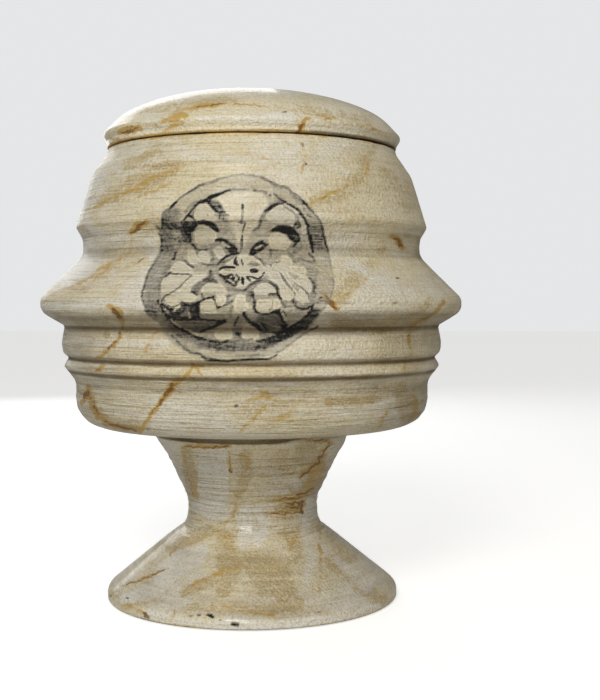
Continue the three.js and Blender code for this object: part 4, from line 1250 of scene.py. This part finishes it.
def layered(across, up, strokes, wander, seed):
    """The tone left where each stroke is laid over those before it."""
    rng = np.random.default_rng(seed)
    tone = np.zeros(across.shape)
    for stroke in strokes:
        near, share = covered(across, up, stroke, 1.0, wander, rng)
        tone[near] += (stroke[0] - tone[near]) * share
    return tone


def wandering_patches(rng, count, low, high, girth, size):
    """Random broad soft patches for the sides away from the viewing point."""
    patches = []
    for _ in range(count):
        x, y = rng.uniform(0.14, 0.86) * girth, rng.uniform(low, high)
        run, rise = rng.uniform(0.6, 2.2) * size, rng.normal(0, 0.8) * size
        tone, width = rng.uniform(0.4, 0.75), rng.uniform(0.6, 1.4) * size
        patches.append((tone, size * 0.8, (width, width * 1.3), ((x, y), (x + run, y + rise))))
    return patches


def paint_marble(shell, strokes, seed, girth_radius, density):
    """Sets the marks of the painted marble: listed strokes in front, random patches round the rest.

    It returns where the shell shows in the photograph's frame, across and down, and how far it does.
    """
    shown = smooth_step(shell.facing(), *FRONT_FADE) * shell.outside
    across, down = pixels(shell.points())
    girth = TURN * girth_radius / PIXEL_MM
    around = ((shell.turn - VIEW_TURN) % TURN) / TURN * girth
    up = shell.height / PIXEL_MM
    low, high = up.min(), up.max()
    rng = np.random.default_rng(seed)
    steep = smooth_step(np.abs(shell.out[..., 1]), *STEEP_FADE)
    for mark, front in strokes.items():
        field = painted(across, down, front, *VEIN_HAND, seed) * shown
        if mark in PATCH_SIZES:
            patches = wandering_patches(rng, density, low, high, girth, PATCH_SIZES[mark])
            field += painted(around, up, patches, *PATCH_HAND, seed) * steep * (1 - shown)
        shell.marks[mark] = field * shell.outside
    # The groove mark paints shade and dirt into the grooves, deeper where the outline sinks
    shell.marks["groove"] = shell.groove * shell.outside
    shell.marks["behind"] = (1 - shown) * shell.outside
    shell.marks["bare"] = 1.0 - shell.outside
    return across, down, shown


def draw_medallion(shell, across, down, shown):
    """Adds the medallion to the drawing mark: charcoal above 0, cream body colour below."""
    x, y = across - MEDALLION_X, MEDALLION_Y - down
    hatch = tuple(
        (HATCH_TONE, 1.3, (1.4, 1.2), ((HATCH_X[0], row), (HATCH_X[1], row + 0.8))) for row in HATCH_Y
    )
    leaves = FAN_LAYERS + SCROLL_LAYERS + SIDE_LEAF_LAYERS + BOSS_LAYERS
    layers = BAND_LAYERS + hatch + leaves + INNER_LINE
    drawing = layered(x, y, layers, DRAWING_STRAY, DRAWING_SEED) * shown
    pits = shell.marks["drawing"]
    shell.marks["drawing"] = np.where(np.abs(drawing) > pits, drawing, pits)


# Finishes


def add_node(tree, kind, inputs=None, **settings):
    """Adds a node, sets it and fills or links its inputs."""
    made = tree.nodes.new(kind)
    for name, value in settings.items():
        setattr(made, name, value)
    for socket, value in (inputs or {}).items():
        if isinstance(value, bpy.types.NodeSocket):
            tree.links.new(value, made.inputs[socket])
        else:
            made.inputs[socket].default_value = value
    return made


def maths(tree, operation, first, second=0.0, clamp=False):
    """One step of arithmetic."""
    made = add_node(tree, "ShaderNodeMath", {0: first, 1: second}, operation=operation, use_clamp=clamp)
    return made.outputs[0]


def times(tree, first, second):
    """The product of two values."""
    return maths(tree, "MULTIPLY", first, second)


def plus(tree, first, second):
    """The sum of two values."""
    return maths(tree, "ADD", first, second)


def swung(tree, value, amount):
    """A noise value turned into a swing about 0."""
    return times(tree, maths(tree, "SUBTRACT", value, 0.5), amount)


def blended(tree, first, second, share=0.5):
    """Two values added, the first with the given share."""
    return plus(tree, times(tree, first, share), times(tree, second, 1 - share))


def eased(tree, value, low, high, to_low=0.0, to_high=1.0):
    """A smooth step of the value from low to high."""
    made = add_node(
        tree,
        "ShaderNodeMapRange",
        {"Value": value, "From Min": low, "From Max": high, "To Min": to_low, "To Max": to_high},
        interpolation_type="SMOOTHSTEP",
    )
    return made.outputs["Result"]


def mixed(tree, share, first, second, blend="MIX"):
    """Two colours mixed."""
    made = add_node(
        tree, "ShaderNodeMix", {0: share, 6: first, 7: second}, data_type="RGBA", blend_type=blend
    )
    return made.outputs[2]


def noise(tree, around, up, scale=1.0, detail=3.0, roughness=0.55, distortion=0.0):
    """Noise from 0 to 1 over object coordinates that are scaled apart round the piece and up it."""
    place = add_node(tree, "ShaderNodeTexCoord").outputs["Object"]
    scaled = add_node(tree, "ShaderNodeMapping", {"Vector": place, "Scale": (around, around, up)})
    inputs = {
        "Vector": scaled.outputs[0],
        "Scale": scale,
        "Detail": detail,
        "Roughness": roughness,
        "Distortion": distortion,
    }
    return add_node(tree, "ShaderNodeTexNoise", inputs).outputs["Fac"]


def new_group(name, inputs, outputs):
    """A shader node group with the given sockets. A number's default is a float, a colour's a tuple."""
    tree = bpy.data.node_groups.new(name, "ShaderNodeTree")
    for socket, default in inputs.items():
        kind = "NodeSocketFloat" if isinstance(default, (int, float)) else "NodeSocketColor"
        made = tree.interface.new_socket(socket, in_out="INPUT", socket_type=kind)
        made.default_value = default
    for socket, kind in outputs.items():
        tree.interface.new_socket(socket, in_out="OUTPUT", socket_type=kind)
    return tree, tree.nodes.new("NodeGroupInput").outputs, tree.nodes.new("NodeGroupOutput").inputs


WHITE = (1.0, 1.0, 1.0, 1.0)


def painted_ground_group():
    """Cream paint with whitish and beige patches, brushed round the piece; where ridged, its dark and pale
    brush streaks also paint shade and light along the turning ridges.
    """
    tree, given, result = new_group(
        "Painted Ground",
        {
            "Cream": WHITE,
            "Pale": WHITE,
            "Beige": WHITE,
            "Pale Patch": 0.0,
            "Beige Patch": 0.0,
            "Paleness": 0.5,
            "Mottle": 0.5,
            "Streaks": 0.5,
            "Dust": 0.55,
            "Ridged": 1.0,
        },
        {"Color": "NodeSocketColor"},
    )
    cloud = noise(tree, 1, 1.6, 13, 5, 0.6, 0.6)
    drift = noise(tree, 1, 1.5, 36, 6, 0.66, 0.5)
    grain = noise(tree, 1, 1.3, 320, 5, 0.72)
    brush = noise(tree, 16, 620, 1, 4, 0.7)
    fine = noise(tree, 40, 1500, 1, 3, 0.7)
    speck = noise(tree, 1, 1, 900, 3, 0.7)
    streaks = times(tree, given["Streaks"], given["Ridged"])
    brushed = times(tree, swung(tree, brush, given["Ridged"]), 0.9)
    swing = plus(tree, swung(tree, grain, 1.6), brushed)
    stray = plus(tree, swing, swung(tree, drift, 1.1))

    def patched(patch):
        """Ragged cover of a painted patch."""
        pushed = plus(tree, given[patch], stray)
        there = eased(tree, given[patch], 0.03, 0.30)
        return times(tree, times(tree, eased(tree, pushed, 0.26, 0.70), there), 0.95)

    hazed = plus(tree, cloud, times(tree, swing, 0.22))
    pale_cloud = times(tree, eased(tree, hazed, 0.44, 0.62), given["Paleness"])
    mottled = plus(tree, drift, times(tree, swing, 0.22))
    beige_cloud = times(tree, eased(tree, mottled, 0.50, 0.66), given["Mottle"])
    ground = mixed(tree, pale_cloud, given["Cream"], given["Pale"])
    beige = maths(tree, "MAXIMUM", patched("Beige Patch"), beige_cloud)
    ground = mixed(tree, beige, ground, given["Beige"])
    ground = mixed(tree, patched("Pale Patch"), ground, given["Pale"])
    # Dark brush streaks, which also paint shade along the turning ridges
    streak = times(tree, eased(tree, brush, 0.50, 0.70), streaks)
    ground = mixed(tree, times(tree, streak, 0.7), ground, given["Beige"], "MULTIPLY")
    # Pale brush streaks, which also paint light on the turning ridges
    lifted = times(tree, given["Ridged"], 0.6)
    light = times(tree, eased(tree, brush, 0.50, 0.34), lifted)
    ground = mixed(tree, light, ground, given["Pale"])
    # Fine dark threads, which also paint shade between the turning ridges
    thread = times(tree, eased(tree, fine, 0.50, 0.70), streaks)
    ground = mixed(tree, thread, ground, given["Beige"], "MULTIPLY")
    dust = times(tree, eased(tree, speck, 0.48, 0.68), given["Dust"])
    ground = mixed(tree, dust, ground, given["Beige"], "MULTIPLY")
    glint = times(tree, eased(tree, speck, 0.50, 0.34), 0.40)
    tree.links.new(mixed(tree, glint, ground, given["Pale"]), result["Color"])
    return tree


def ochre_vein_group():
    """Ochre veins with darker cores, ragged from the brush, and fainter ones that wander by themselves."""
    tree, given, result = new_group(
        "Ochre Veins",
        {
            "Ground": WHITE,
            "Vein": 0.0,
            "Core": 0.0,
            "Wild": 0.0,
            "Ochre": WHITE,
            "Umber": WHITE,
            "Glaze": 0.3,
        },
        {"Color": "NodeSocketColor"},
    )
    rag = noise(tree, 1, 1.7, 240, 6, 0.72, 0.5)
    brush = noise(tree, 55, 800, 1, 3, 0.65)
    fade = noise(tree, 1, 1.2, 75, 3, 0.6)
    swing = swung(tree, blended(tree, rag, brush, 0.6), 2.2)
    weak = swung(tree, fade, 0.8)
    course = noise(tree, 1, 1.6, 8, 4, 0.55, 0.35)
    off_course = maths(tree, "ABSOLUTE", maths(tree, "SUBTRACT", course, 0.5))
    broken = eased(tree, noise(tree, 1, 1, 22, 2, 0.5), 0.44, 0.58)
    wild = times(tree, broken, given["Wild"])
    wild_vein = times(tree, wild, eased(tree, off_course, 0.030, 0.004, 0.0, 0.85))
    wild_core = times(tree, wild, eased(tree, off_course, 0.008, 0.001, 0.0, 0.75))
    marked = maths(tree, "MAXIMUM", given["Vein"], wild_vein)
    pushed = plus(tree, plus(tree, marked, swing), weak)
    there = eased(tree, marked, 0.03, 0.35)
    vein = times(tree, times(tree, eased(tree, pushed, 0.30, 0.70), there), 0.90)
    halo = times(tree, eased(tree, marked, 0.0, 0.8), 0.34)
    cloud = noise(tree, 1, 1.8, 46, 6, 0.66, 0.8)
    glaze = times(tree, eased(tree, cloud, 0.55, 0.72), given["Glaze"])
    cover = maths(tree, "MAXIMUM", vein, maths(tree, "MAXIMUM", halo, glaze))
    color = mixed(tree, cover, given["Ground"], given["Ochre"])
    cored = maths(tree, "MAXIMUM", given["Core"], wild_core)
    pushed_core = plus(tree, cored, swing)
    core = times(tree, eased(tree, pushed_core, 0.30, 0.75), eased(tree, cored, 0.03, 0.4))
    tree.links.new(mixed(tree, times(tree, core, 0.92), color, given["Umber"]), result["Color"])
    return tree


def charcoal_group():
    """A drawing in dry charcoal, thin wash and body colour over a ground."""
    tree, given, result = new_group(
        "Dry Charcoal",
        {
            "Ground": WHITE,
            "Drawing": 0.0,
            "Wash Color": WHITE,
            "Line Color": WHITE,
            "Body Color": WHITE,
        },
        {"Color": "NodeSocketColor", "Dry": "NodeSocketFloat"},
    )
    grain = noise(tree, 1, 1, 640, 4, 0.7)
    drag = noise(tree, 90, 900, 1, 3, 0.65)
    swing = swung(tree, blended(tree, grain, drag), 2.3)
    there = eased(tree, given["Drawing"], 0.0, 0.45)
    drawn = plus(tree, given["Drawing"], times(tree, swing, there))
    touched = maths(tree, "ABSOLUTE", given["Drawing"])
    ragged = plus(tree, touched, times(tree, swing, 0.12))
    film = times(tree, eased(tree, ragged, 0.02, 0.3), 0.30)
    body = times(tree, eased(tree, given["Drawing"], 0.0, -0.8), 0.40)
    dulled = mixed(tree, film, given["Ground"], given["Wash Color"])
    lit = mixed(tree, body, dulled, given["Body Color"])
    wash = times(tree, eased(tree, drawn, 0.0, 0.50), 0.9)
    line = eased(tree, drawn, 0.40, 0.98)
    color = mixed(tree, wash, lit, given["Wash Color"])
    tree.links.new(mixed(tree, line, color, given["Line Color"]), result["Color"])
    tree.links.new(line, result["Dry"])
    return tree


def grime_and_shade_group():
    """Painted shade and dirt where the groove mark is set, and how strong they are."""
    tree, given, result = new_group(
        "Soil And Painted Shade",
        {"Ground": WHITE, "Groove": 0.0, "Grime And Shade": WHITE, "Strength": 0.6},
        {"Color": "NodeSocketColor", "Dirt And Shade": "NodeSocketFloat"},
    )
    patchy = noise(tree, 1, 3, 38, 5, 0.65)
    fine = noise(tree, 14, 520, 1, 4, 0.65)
    deep = plus(tree, given["Groove"], swung(tree, blended(tree, patchy, fine), 1.1))
    there = eased(tree, given["Groove"], 0.0, 0.2)
    dirt_and_shade = times(tree, times(tree, eased(tree, deep, 0.0, 0.8), there), given["Strength"])
    tree.links.new(dirt_and_shade, result["Dirt And Shade"])
    tree.links.new(mixed(tree, dirt_and_shade, given["Ground"], given["Grime And Shade"], "MULTIPLY"), result["Color"])
    return tree


def brushed_relief_group():
    """Height of turning ridges, brush lines and a fine stipple, 0 to 1."""
    tree, given, result = new_group(
        "Brushed Relief",
        {"Ridges": 0.5, "Brush": 0.3, "Stipple": 0.2, "Ridged": 1.0},
        {"Height": "NodeSocketFloat"},
    )
    ridges = noise(tree, 5, 430, 1, 2, 0.5)
    brush = noise(tree, 24, 1200, 1, 4, 0.65)
    stipple = noise(tree, 1, 1, 620, 3, 0.6)
    turned = times(tree, ridges, given["Ridges"])
    brushed = times(tree, brush, given["Brush"])
    lines = times(tree, plus(tree, turned, brushed), given["Ridged"])
    height = plus(tree, lines, times(tree, stipple, given["Stipple"]))
    tree.links.new(height, result["Height"])
    return tree


GROUPS = {
    "Painted Ground": painted_ground_group,
    "Ochre Veins": ochre_vein_group,
    "Dry Charcoal": charcoal_group,
    "Soil And Painted Shade": grime_and_shade_group,
    "Brushed Relief": brushed_relief_group,
}


def place_group(tree, name, inputs):
    """Outputs of a node that holds the named group, which is built when it is first asked for."""
    group = bpy.data.node_groups.get(name) or GROUPS[name]()
    return add_node(tree, "ShaderNodeGroup", inputs, node_tree=group).outputs


def painted_material(name, brushwork, relief, glaze, grime_and_shade, roughness, sheen):
    """Painted and varnished clay with the marks that its piece carries."""
    paint = bpy.context.scene.urn_paint
    drawing = bpy.context.scene.urn_vessel
    material = bpy.data.materials.new(name)
    material.use_nodes = True
    tree = material.node_tree
    tree.nodes.clear()

    def mark(attribute):
        """The strength of one of the piece's marks."""
        return add_node(tree, "ShaderNodeAttribute", attribute_name=attribute).outputs["Fac"]

    ground = place_group(
        tree,
        "Painted Ground",
        {
            "Cream": (*paint.cream, 1),
            "Pale": (*paint.pale, 1),
            "Beige": (*paint.beige, 1),
            "Pale Patch": mark("pale"),
            "Beige Patch": mark("stain"),
            "Ridged": mark("ridged"),
            **brushwork,
        },
    )
    veined = place_group(
        tree,
        "Ochre Veins",
        {
            "Ground": ground["Color"],
            "Vein": mark("ochre"),
            "Core": mark("umber"),
            "Wild": mark("behind"),
            "Ochre": (*paint.ochre, 1),
            "Umber": (*paint.umber, 1),
            "Glaze": glaze,
        },
    )
    drawn = place_group(
        tree,
        "Dry Charcoal",
        {
            "Ground": veined["Color"],
            "Drawing": mark("drawing"),
            "Wash Color": (*drawing.wash, 1),
            "Line Color": (*drawing.ink, 1),
            "Body Color": (*drawing.body, 1),
        },
    )
    # Painted shade and dirt from the groove mark darken the colour; the same amount makes it matt
    worn = place_group(
        tree,
        "Soil And Painted Shade",
        {
            "Ground": drawn["Color"],
            "Groove": mark("groove"),
            "Grime And Shade": (*paint.grime_and_shade, 1),
            "Strength": grime_and_shade,
        },
    )
    color = mixed(tree, mark("bare"), worn["Color"], (*paint.clay, 1))
    height = place_group(tree, "Brushed Relief", {**relief, "Ridged": mark("ridged")})["Height"]
    bump = add_node(tree, "ShaderNodeBump", {"Strength": 1.0, "Distance": 0.0036, "Height": height})
    smears = noise(tree, 1, 4, 34, 4, 0.6)
    rough = eased(tree, smears, 0.3, 0.7, roughness - 0.07, roughness + 0.09)
    matt = maths(tree, "MAXIMUM", drawn["Dry"], times(tree, worn["Dirt And Shade"], 0.7))
    rough = maths(tree, "ADD", rough, times(tree, matt, 0.4), clamp=True)
    gloss = times(tree, maths(tree, "SUBTRACT", 1.0, matt, clamp=True), sheen * paint.gloss)
    shader = add_node(
        tree,
        "ShaderNodeBsdfPrincipled",
        {
            "Base Color": color,
            "Roughness": rough,
            "Normal": bump.outputs["Normal"],
            "Coat Weight": gloss,
            "Coat Roughness": 0.12,
            "IOR": 1.42,
        },
    )
    end = tree.nodes.new("ShaderNodeOutputMaterial")
    tree.links.new(shader.outputs["BSDF"], end.inputs["Surface"])
    return material


# The pieces


def settle(piece, node):
    """Ties a finished piece to the frame in the place of its CAD node."""
    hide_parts(node)
    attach(piece, "root")


# The pedestal foot in millimetres and degrees. Columns go to column_turns and ridges to
# turned_noise. The other pairs say where something starts and where it is full.
FOOT_COLUMNS = ((78, 0.72), (180, 3))
FOOT_RIDGES = ((7, 1.7, 3), (5, 3.1, 4))
NECK_BOTTOM = (30, 44)
NECK_TOP = (92, 78)
CONE_BOTTOM = (3, 8)
CONE_TOP = (42, 30)
COLLAR_EDGE = (COLLAR_TOP - 8, COLLAR_TOP - 0.6)
COLLAR_JOINT = (COLLAR_TOP - 1.2, COLLAR_TOP)
COLLAR_RISE = (PAD_RADIUS, 53)
COLLAR_INNER = 40
COLLAR_OUTER = 54.5
FILLER_START = (14, 46)
FILLER_END = (250, 190)
CHIP_DEPTH = 0.5


def foot_rows(radius, height):
    """Row heights of the pedestal foot, coarse where the vessel covers it."""
    return np.where((radius < 44) & (height > 90), 5.0, 0.62)


class URN_OT_pedestal_foot(Operator):
    """Build the pedestal foot with its ridged neck, filled joint and chipped rim"""

    bl_idname = "urn.pedestal_foot"
    bl_label = "Pedestal Foot"

    def execute(self, context):
        settings = context.scene.urn_foot
        shell = Shell("pedestal_foot", True, foot_rows, column_turns(*FOOT_COLUMNS))
        neck = smooth_step(shell.height, *NECK_BOTTOM) * smooth_step(shell.height, *NECK_TOP)
        shell.wander(settings.wobble, 5, 34, 11)
        shell.cut_ridges(settings.ridge, FOOT_RIDGES, 0.25 + 0.75 * neck)
        around = np.degrees(shell.turn)
        closed = smooth_step(around, *FILLER_START) * smooth_step(around, *FILLER_END)
        edge = smooth_step(shell.height, *COLLAR_EDGE) * smooth_step(shell.radius, *COLLAR_RISE)
        shell.height += settings.filler / MM * closed * edge * shell.outside
        across, down, shown = paint_marble(
            shell,
            {"ochre": FOOT_OCHRE, "umber": FOOT_UMBER, "stain": FOOT_STAIN, "pale": FOOT_PALE},
            settings.seed,
            girth_radius=56,
            density=46,
        )
        pits = painted(across, down, FOOT_PITS) * shown
        shell.sink(CHIP_DEPTH * pits)
        shell.marks["drawing"] = pits
        # The ridged mark also sets the painted shade and light along the neck's turning ridges
        shell.marks["ridged"] = 0.15 + 0.85 * neck
        # Painted shade in the recess at the joint under the vessel
        joint = smooth_step(shell.height, *COLLAR_JOINT) * (shell.radius < COLLAR_OUTER)
        shell.settle_dirt_and_shade(joint * (shell.radius > COLLAR_INNER))
        # Painted shade darkening the whole cone evenly all round, and weaker shade and dirt in the foot's
        # grooves
        cone = smooth_step(shell.height, *CONE_TOP) * smooth_step(shell.height, *CONE_BOTTOM)
        shell.marks["groove"] *= 0.4
        shell.settle_dirt_and_shade(0.28 * cone * shell.outside)
        material = painted_material(
            "pedestal_paint",
            brushwork={"Paleness": 0.85, "Mottle": 0.5, "Streaks": 0.85, "Dust": 0.55},
            relief={"Ridges": 0.75, "Brush": 0.45, "Stipple": 0.34},
            glaze=0.2,
            grime_and_shade=0.7,
            roughness=0.42,
            sheen=1.8,
        )
        settle(shell.build(material), "pedestal_foot")
        return {"FINISHED"}


# The vessel, in the same way
VESSEL_COLUMNS = ((35, 0.40), (80, 1.3), (180, 4))
VESSEL_RIDGES = ((9, 1.9, 5), (7, 3.3, 6))
DRUM_TOP = (128, 116)
DRUM_RADIUS = 85
UNDER_ROLL = 112
SIDE_SHADE_TOP = (166, 152)
SIDE_SHADE_TURN = (18, 52)
BEAD_LINES = (133.4, 126.4)
BEAD_LINE_WIDTH = 1.5
RIM_EDGE = (VESSEL_RIM - 1.4, VESSEL_RIM - 0.2)
RIM_RADIUS = 75
RIDGED_LEFT = (10, -30)


def vessel_rows(radius, height):
    """Row heights of the vessel, coarse underneath and on the rim, finest where it is drawn on."""
    return np.select([radius < 82, height < 128, height < 233], [5.0, 1.1, 0.68], 1.4)


class URN_OT_vessel_body(Operator):
    """Build the moulded vessel with its veins and drawn medallion"""

    bl_idname = "urn.vessel_body"
    bl_label = "Vessel Body"

    def execute(self, context):
        settings = context.scene.urn_vessel
        shell = Shell("vessel_body", False, vessel_rows, column_turns(*VESSEL_COLUMNS))
        drum = smooth_step(shell.height, *DRUM_TOP) * (shell.radius > DRUM_RADIUS)
        shell.wander(settings.wobble, 6, 40, 12)
        shell.cut_ridges(settings.ridge, VESSEL_RIDGES, 0.3 + 0.7 * drum)
        across, down, shown = paint_marble(
            shell,
            {"ochre": VESSEL_OCHRE, "umber": VESSEL_UMBER, "stain": VESSEL_STAIN, "pale": VESSEL_PALE},
            settings.seed,
            girth_radius=98,
            density=74,
        )
        shell.marks["drawing"] = painted(across, down, VESSEL_PITS) * shown
        # Painted shade on the downward-facing undersides of the roll and the bead
        under = smooth_step(-shell.out[..., 1], 0.25, 0.85) * (shell.height > UNDER_ROLL) * shell.outside
        # Painted shade: the drum and the band darker towards both sides, where the light falls off
        sides = smooth_step(np.abs(shell.aside()), *SIDE_SHADE_TURN)
        dulled = smooth_step(shell.height, *SIDE_SHADE_TOP) * sides * shell.outside
        # Painted shade lines in the two creases beside the bead
        lines = sum(np.exp(-(((shell.height - low) / BEAD_LINE_WIDTH) ** 2)) for low in BEAD_LINES)
        shell.settle_dirt_and_shade(0.42 * under, 0.24 * dulled, 0.75 * lines * shell.outside)
        rim = smooth_step(shell.height, *RIM_EDGE) * (shell.radius > RIM_RADIUS)
        lumps = 0.5 + 0.5 * shell.noise(90, 400, 17)
        shell.height += settings.filler / MM * rim * smooth_step(lumps, 0.12, 0.4)
        shell.marks["ochre"] = np.maximum(shell.marks["ochre"], 0.85 * rim)
        shell.marks["umber"] = np.maximum(shell.marks["umber"], 0.5 * rim * smooth_step(lumps, 0.6, 0.2))
        draw_medallion(shell, across, down, shown)
        # More ridged towards the left: stronger painted shade and light along the ridges there
        left = smooth_step(shell.aside(), *RIDGED_LEFT)
        shell.marks["ridged"] = np.maximum(drum, 0.45 + 0.35 * left)
        material = painted_material(
            "vessel_paint",
            brushwork={"Paleness": 0.7, "Mottle": 0.45, "Streaks": 0.75, "Dust": 0.42},
            relief={"Ridges": 0.6, "Brush": 0.42, "Stipple": 0.36},
            glaze=0.25,
            grime_and_shade=0.9,
            roughness=0.46,
            sheen=0.6,
        )
        settle(shell.build(material), "vessel_body")
        return {"FINISHED"}


# The lid, in the same way
LID_COLUMNS = ((80, 0.8), (180, 3))
LID_LEAN = (LID_SEAT, LID_SEAT + 4)
LID_SEAM = (LID_SEAT + 2.2, LID_SEAT + 0.6)


def lid_rows(radius, height):
    """Row heights of the lid, finer round its rolled edge."""
    return np.where(height < 264, 0.5, 0.8)


class URN_OT_lid(Operator):
    """Build the domed lid, which sits a little askew on the rim"""

    bl_idname = "urn.lid"
    bl_label = "Lid"

    def execute(self, context):
        settings = context.scene.urn_lid
        shell = Shell("lid", True, lid_rows, column_turns(*LID_COLUMNS))
        shell.wander(settings.wobble, 5, 38, 13)
        lean = math.tan(settings.tilt) * shell.radius * np.sin(shell.turn)
        shell.height -= lean * smooth_step(shell.height, *LID_LEAN)
        across, down, shown = paint_marble(
            shell,
            {"ochre": LID_OCHRE, "umber": LID_UMBER, "stain": LID_STAIN, "pale": LID_PALE},
            settings.seed,
            girth_radius=70,
            density=26,
        )
        shell.marks["drawing"] = painted(across, down, LID_INK) * shown
        # Painted shade under the lid's rolled edge, darker towards the right
        seam = smooth_step(shell.height, *LID_SEAM) * shell.outside
        right = smooth_step(np.sin(shell.turn), 0.1, 0.6)
        shell.marks["groove"] *= 0.7
        shell.settle_dirt_and_shade((0.3 + 0.4 * right) * seam)
        shell.marks["ochre"] = np.maximum(shell.marks["ochre"], (0.8 - 0.35 * right) * seam)
        shell.marks["ridged"] = 0.4 * np.ones_like(shown)
        material = painted_material(
            "lid_paint",
            brushwork={"Paleness": 0.5, "Mottle": 0.55, "Streaks": 0.45, "Dust": 0.45},
            relief={"Ridges": 0.28, "Brush": 0.28, "Stipple": 0.28},
            glaze=0.3,
            grime_and_shade=0.8,
            roughness=0.40,
            sheen=1.6,
        )
        settle(shell.build(material), "lid")
        return {"FINISHED"}


# The stage


def floor_material(settings):
    """Plain pale paper, a little brighter to the camera than the light on it."""
    material = bpy.data.materials.new("floor_paper")
    material.use_nodes = True
    tree = material.node_tree
    shader = tree.nodes["Principled BSDF"]
    shader.inputs["Base Color"].default_value = (*settings.floor, 1)
    shader.inputs["Roughness"].default_value = 0.9
    shader.inputs["Emission Color"].default_value = (1.0, 0.995, 0.985, 1)
    seen = add_node(tree, "ShaderNodeLightPath").outputs["Is Camera Ray"]
    tree.links.new(times(tree, seen, settings.lift), shader.inputs["Emission Strength"])
    return material


def studio_world(settings):
    """Even light all round, with a pale backdrop to the camera."""
    world = bpy.data.worlds.new("studio")
    world.use_nodes = True
    tree = world.node_tree
    back = tree.nodes["Background"]
    back.inputs["Color"].default_value = (0.985, 0.99, 1.0, 1)
    seen = add_node(tree, "ShaderNodeLightPath").outputs["Is Camera Ray"]
    strength = add_node(
        tree, "ShaderNodeMix", {0: seen, 2: settings.sky, 3: settings.backdrop}, data_type="FLOAT"
    )
    tree.links.new(strength.outputs[0], back.inputs["Strength"])
    return world


# Half the floor's width, and the point inside the urn that the lamps shine at, in metres
FLOOR_REACH = 6.0
LIGHT_AIM = (0, 0, 0.16)


def area_light(name, power, color, size, place):
    """A square lamp that shines from place into the urn's middle."""
    lamp = bpy.data.lights.new(name, "AREA")
    lamp.energy, lamp.color, lamp.size = power, color, size
    made = bpy.data.objects.new(name, lamp)
    made.location = place
    made.rotation_euler = (Vector(LIGHT_AIM) - Vector(place)).to_track_quat("-Z", "Y").to_euler()
    bpy.context.scene.collection.objects.link(made)


class URN_OT_stage(Operator):
    """Add the pale floor, the soft studio light and the camera"""

    bl_idname = "urn.stage"
    bl_label = "Stage"

    def execute(self, context):
        settings = context.scene.urn_stage
        scene = context.scene
        mesh = bpy.data.meshes.new("floor")
        corners = [(x * FLOOR_REACH, y * FLOOR_REACH, 0) for x, y in ((-1, -1), (1, -1), (1, 1), (-1, 1))]
        mesh.from_pydata(corners, [], [(0, 1, 2, 3)])
        floor = bpy.data.objects.new("floor", mesh)
        scene.collection.objects.link(floor)
        mesh.materials.append(floor_material(settings))
        scene.world = studio_world(settings)
        area_light("front_light", settings.front, (1.0, 0.99, 0.97), 0.26, (-0.10, -1.12, 0.30))
        area_light("key_light", settings.key, (1.0, 0.995, 0.97), 0.40, (-0.20, -1.02, 0.82))
        area_light("window_light", settings.window, (0.80, 0.90, 1.0), 0.4, (-1.15, -0.05, 0.55))
        area_light("fill_light", settings.fill, (1.0, 0.90, 0.72), 0.6, (1.0, -0.55, 0.55))
        area_light("back_light", settings.back, (0.96, 0.98, 1.0), 0.8, (-0.40, 1.15, 0.64))

        lens = bpy.data.cameras.new("camera")
        lens.lens, lens.sensor_width = LENS, SENSOR
        camera = bpy.data.objects.new("camera", lens)
        camera.location = VIEW_POINT * MM
        camera.rotation_euler = (math.pi / 2 + VIEW_PITCH, 0, -VIEW_HEADING)
        scene.collection.objects.link(camera)
        scene.camera = camera
        scene.view_settings.view_transform = "Standard"
        return {"FINISHED"}


class URN_PT_panel(Panel):
    """Lists the urn's pieces and the settings they are built from"""

    bl_idname = "URN_PT_panel"
    bl_label = "Painted Urn"
    bl_space_type = "VIEW_3D"
    bl_region_type = "UI"
    bl_category = "Urn"

    def draw(self, context):
        layout = self.layout
        for step in STEPS:
            layout.operator(step.bl_idname)
        for name, kind in SETTINGS.items():
            group = getattr(context.scene, name)
            box = layout.box()
            box.label(text=kind.__doc__.rstrip("."))
            for prop in group.bl_rna.properties:
                if prop.identifier not in {"rna_type", "name"}:
                    box.prop(group, prop.identifier)


STEPS = (URN_OT_pedestal_foot, URN_OT_vessel_body, URN_OT_lid, URN_OT_stage)
SETTINGS = {
    "urn_paint": PaintSettings,
    "urn_foot": FootSettings,
    "urn_vessel": VesselSettings,
    "urn_lid": LidSettings,
    "urn_stage": StageSettings,
}


def register():
    for group in SETTINGS.values():
        bpy.utils.register_class(group)
    for name, group in SETTINGS.items():
        setattr(bpy.types.Scene, name, PointerProperty(type=group))
    for made in (*STEPS, URN_PT_panel):
        bpy.utils.register_class(made)


def unregister():
    for made in (URN_PT_panel, *reversed(STEPS)):
        bpy.utils.unregister_class(made)
    for name in SETTINGS:
        delattr(bpy.types.Scene, name)
    for group in SETTINGS.values():
        bpy.utils.unregister_class(group)


def main():
    register()
    bpy.ops.urn.pedestal_foot()
    bpy.ops.urn.vessel_body()
    bpy.ops.urn.lid()
    bpy.ops.urn.stage()


if __name__ == "__main__":
    main()
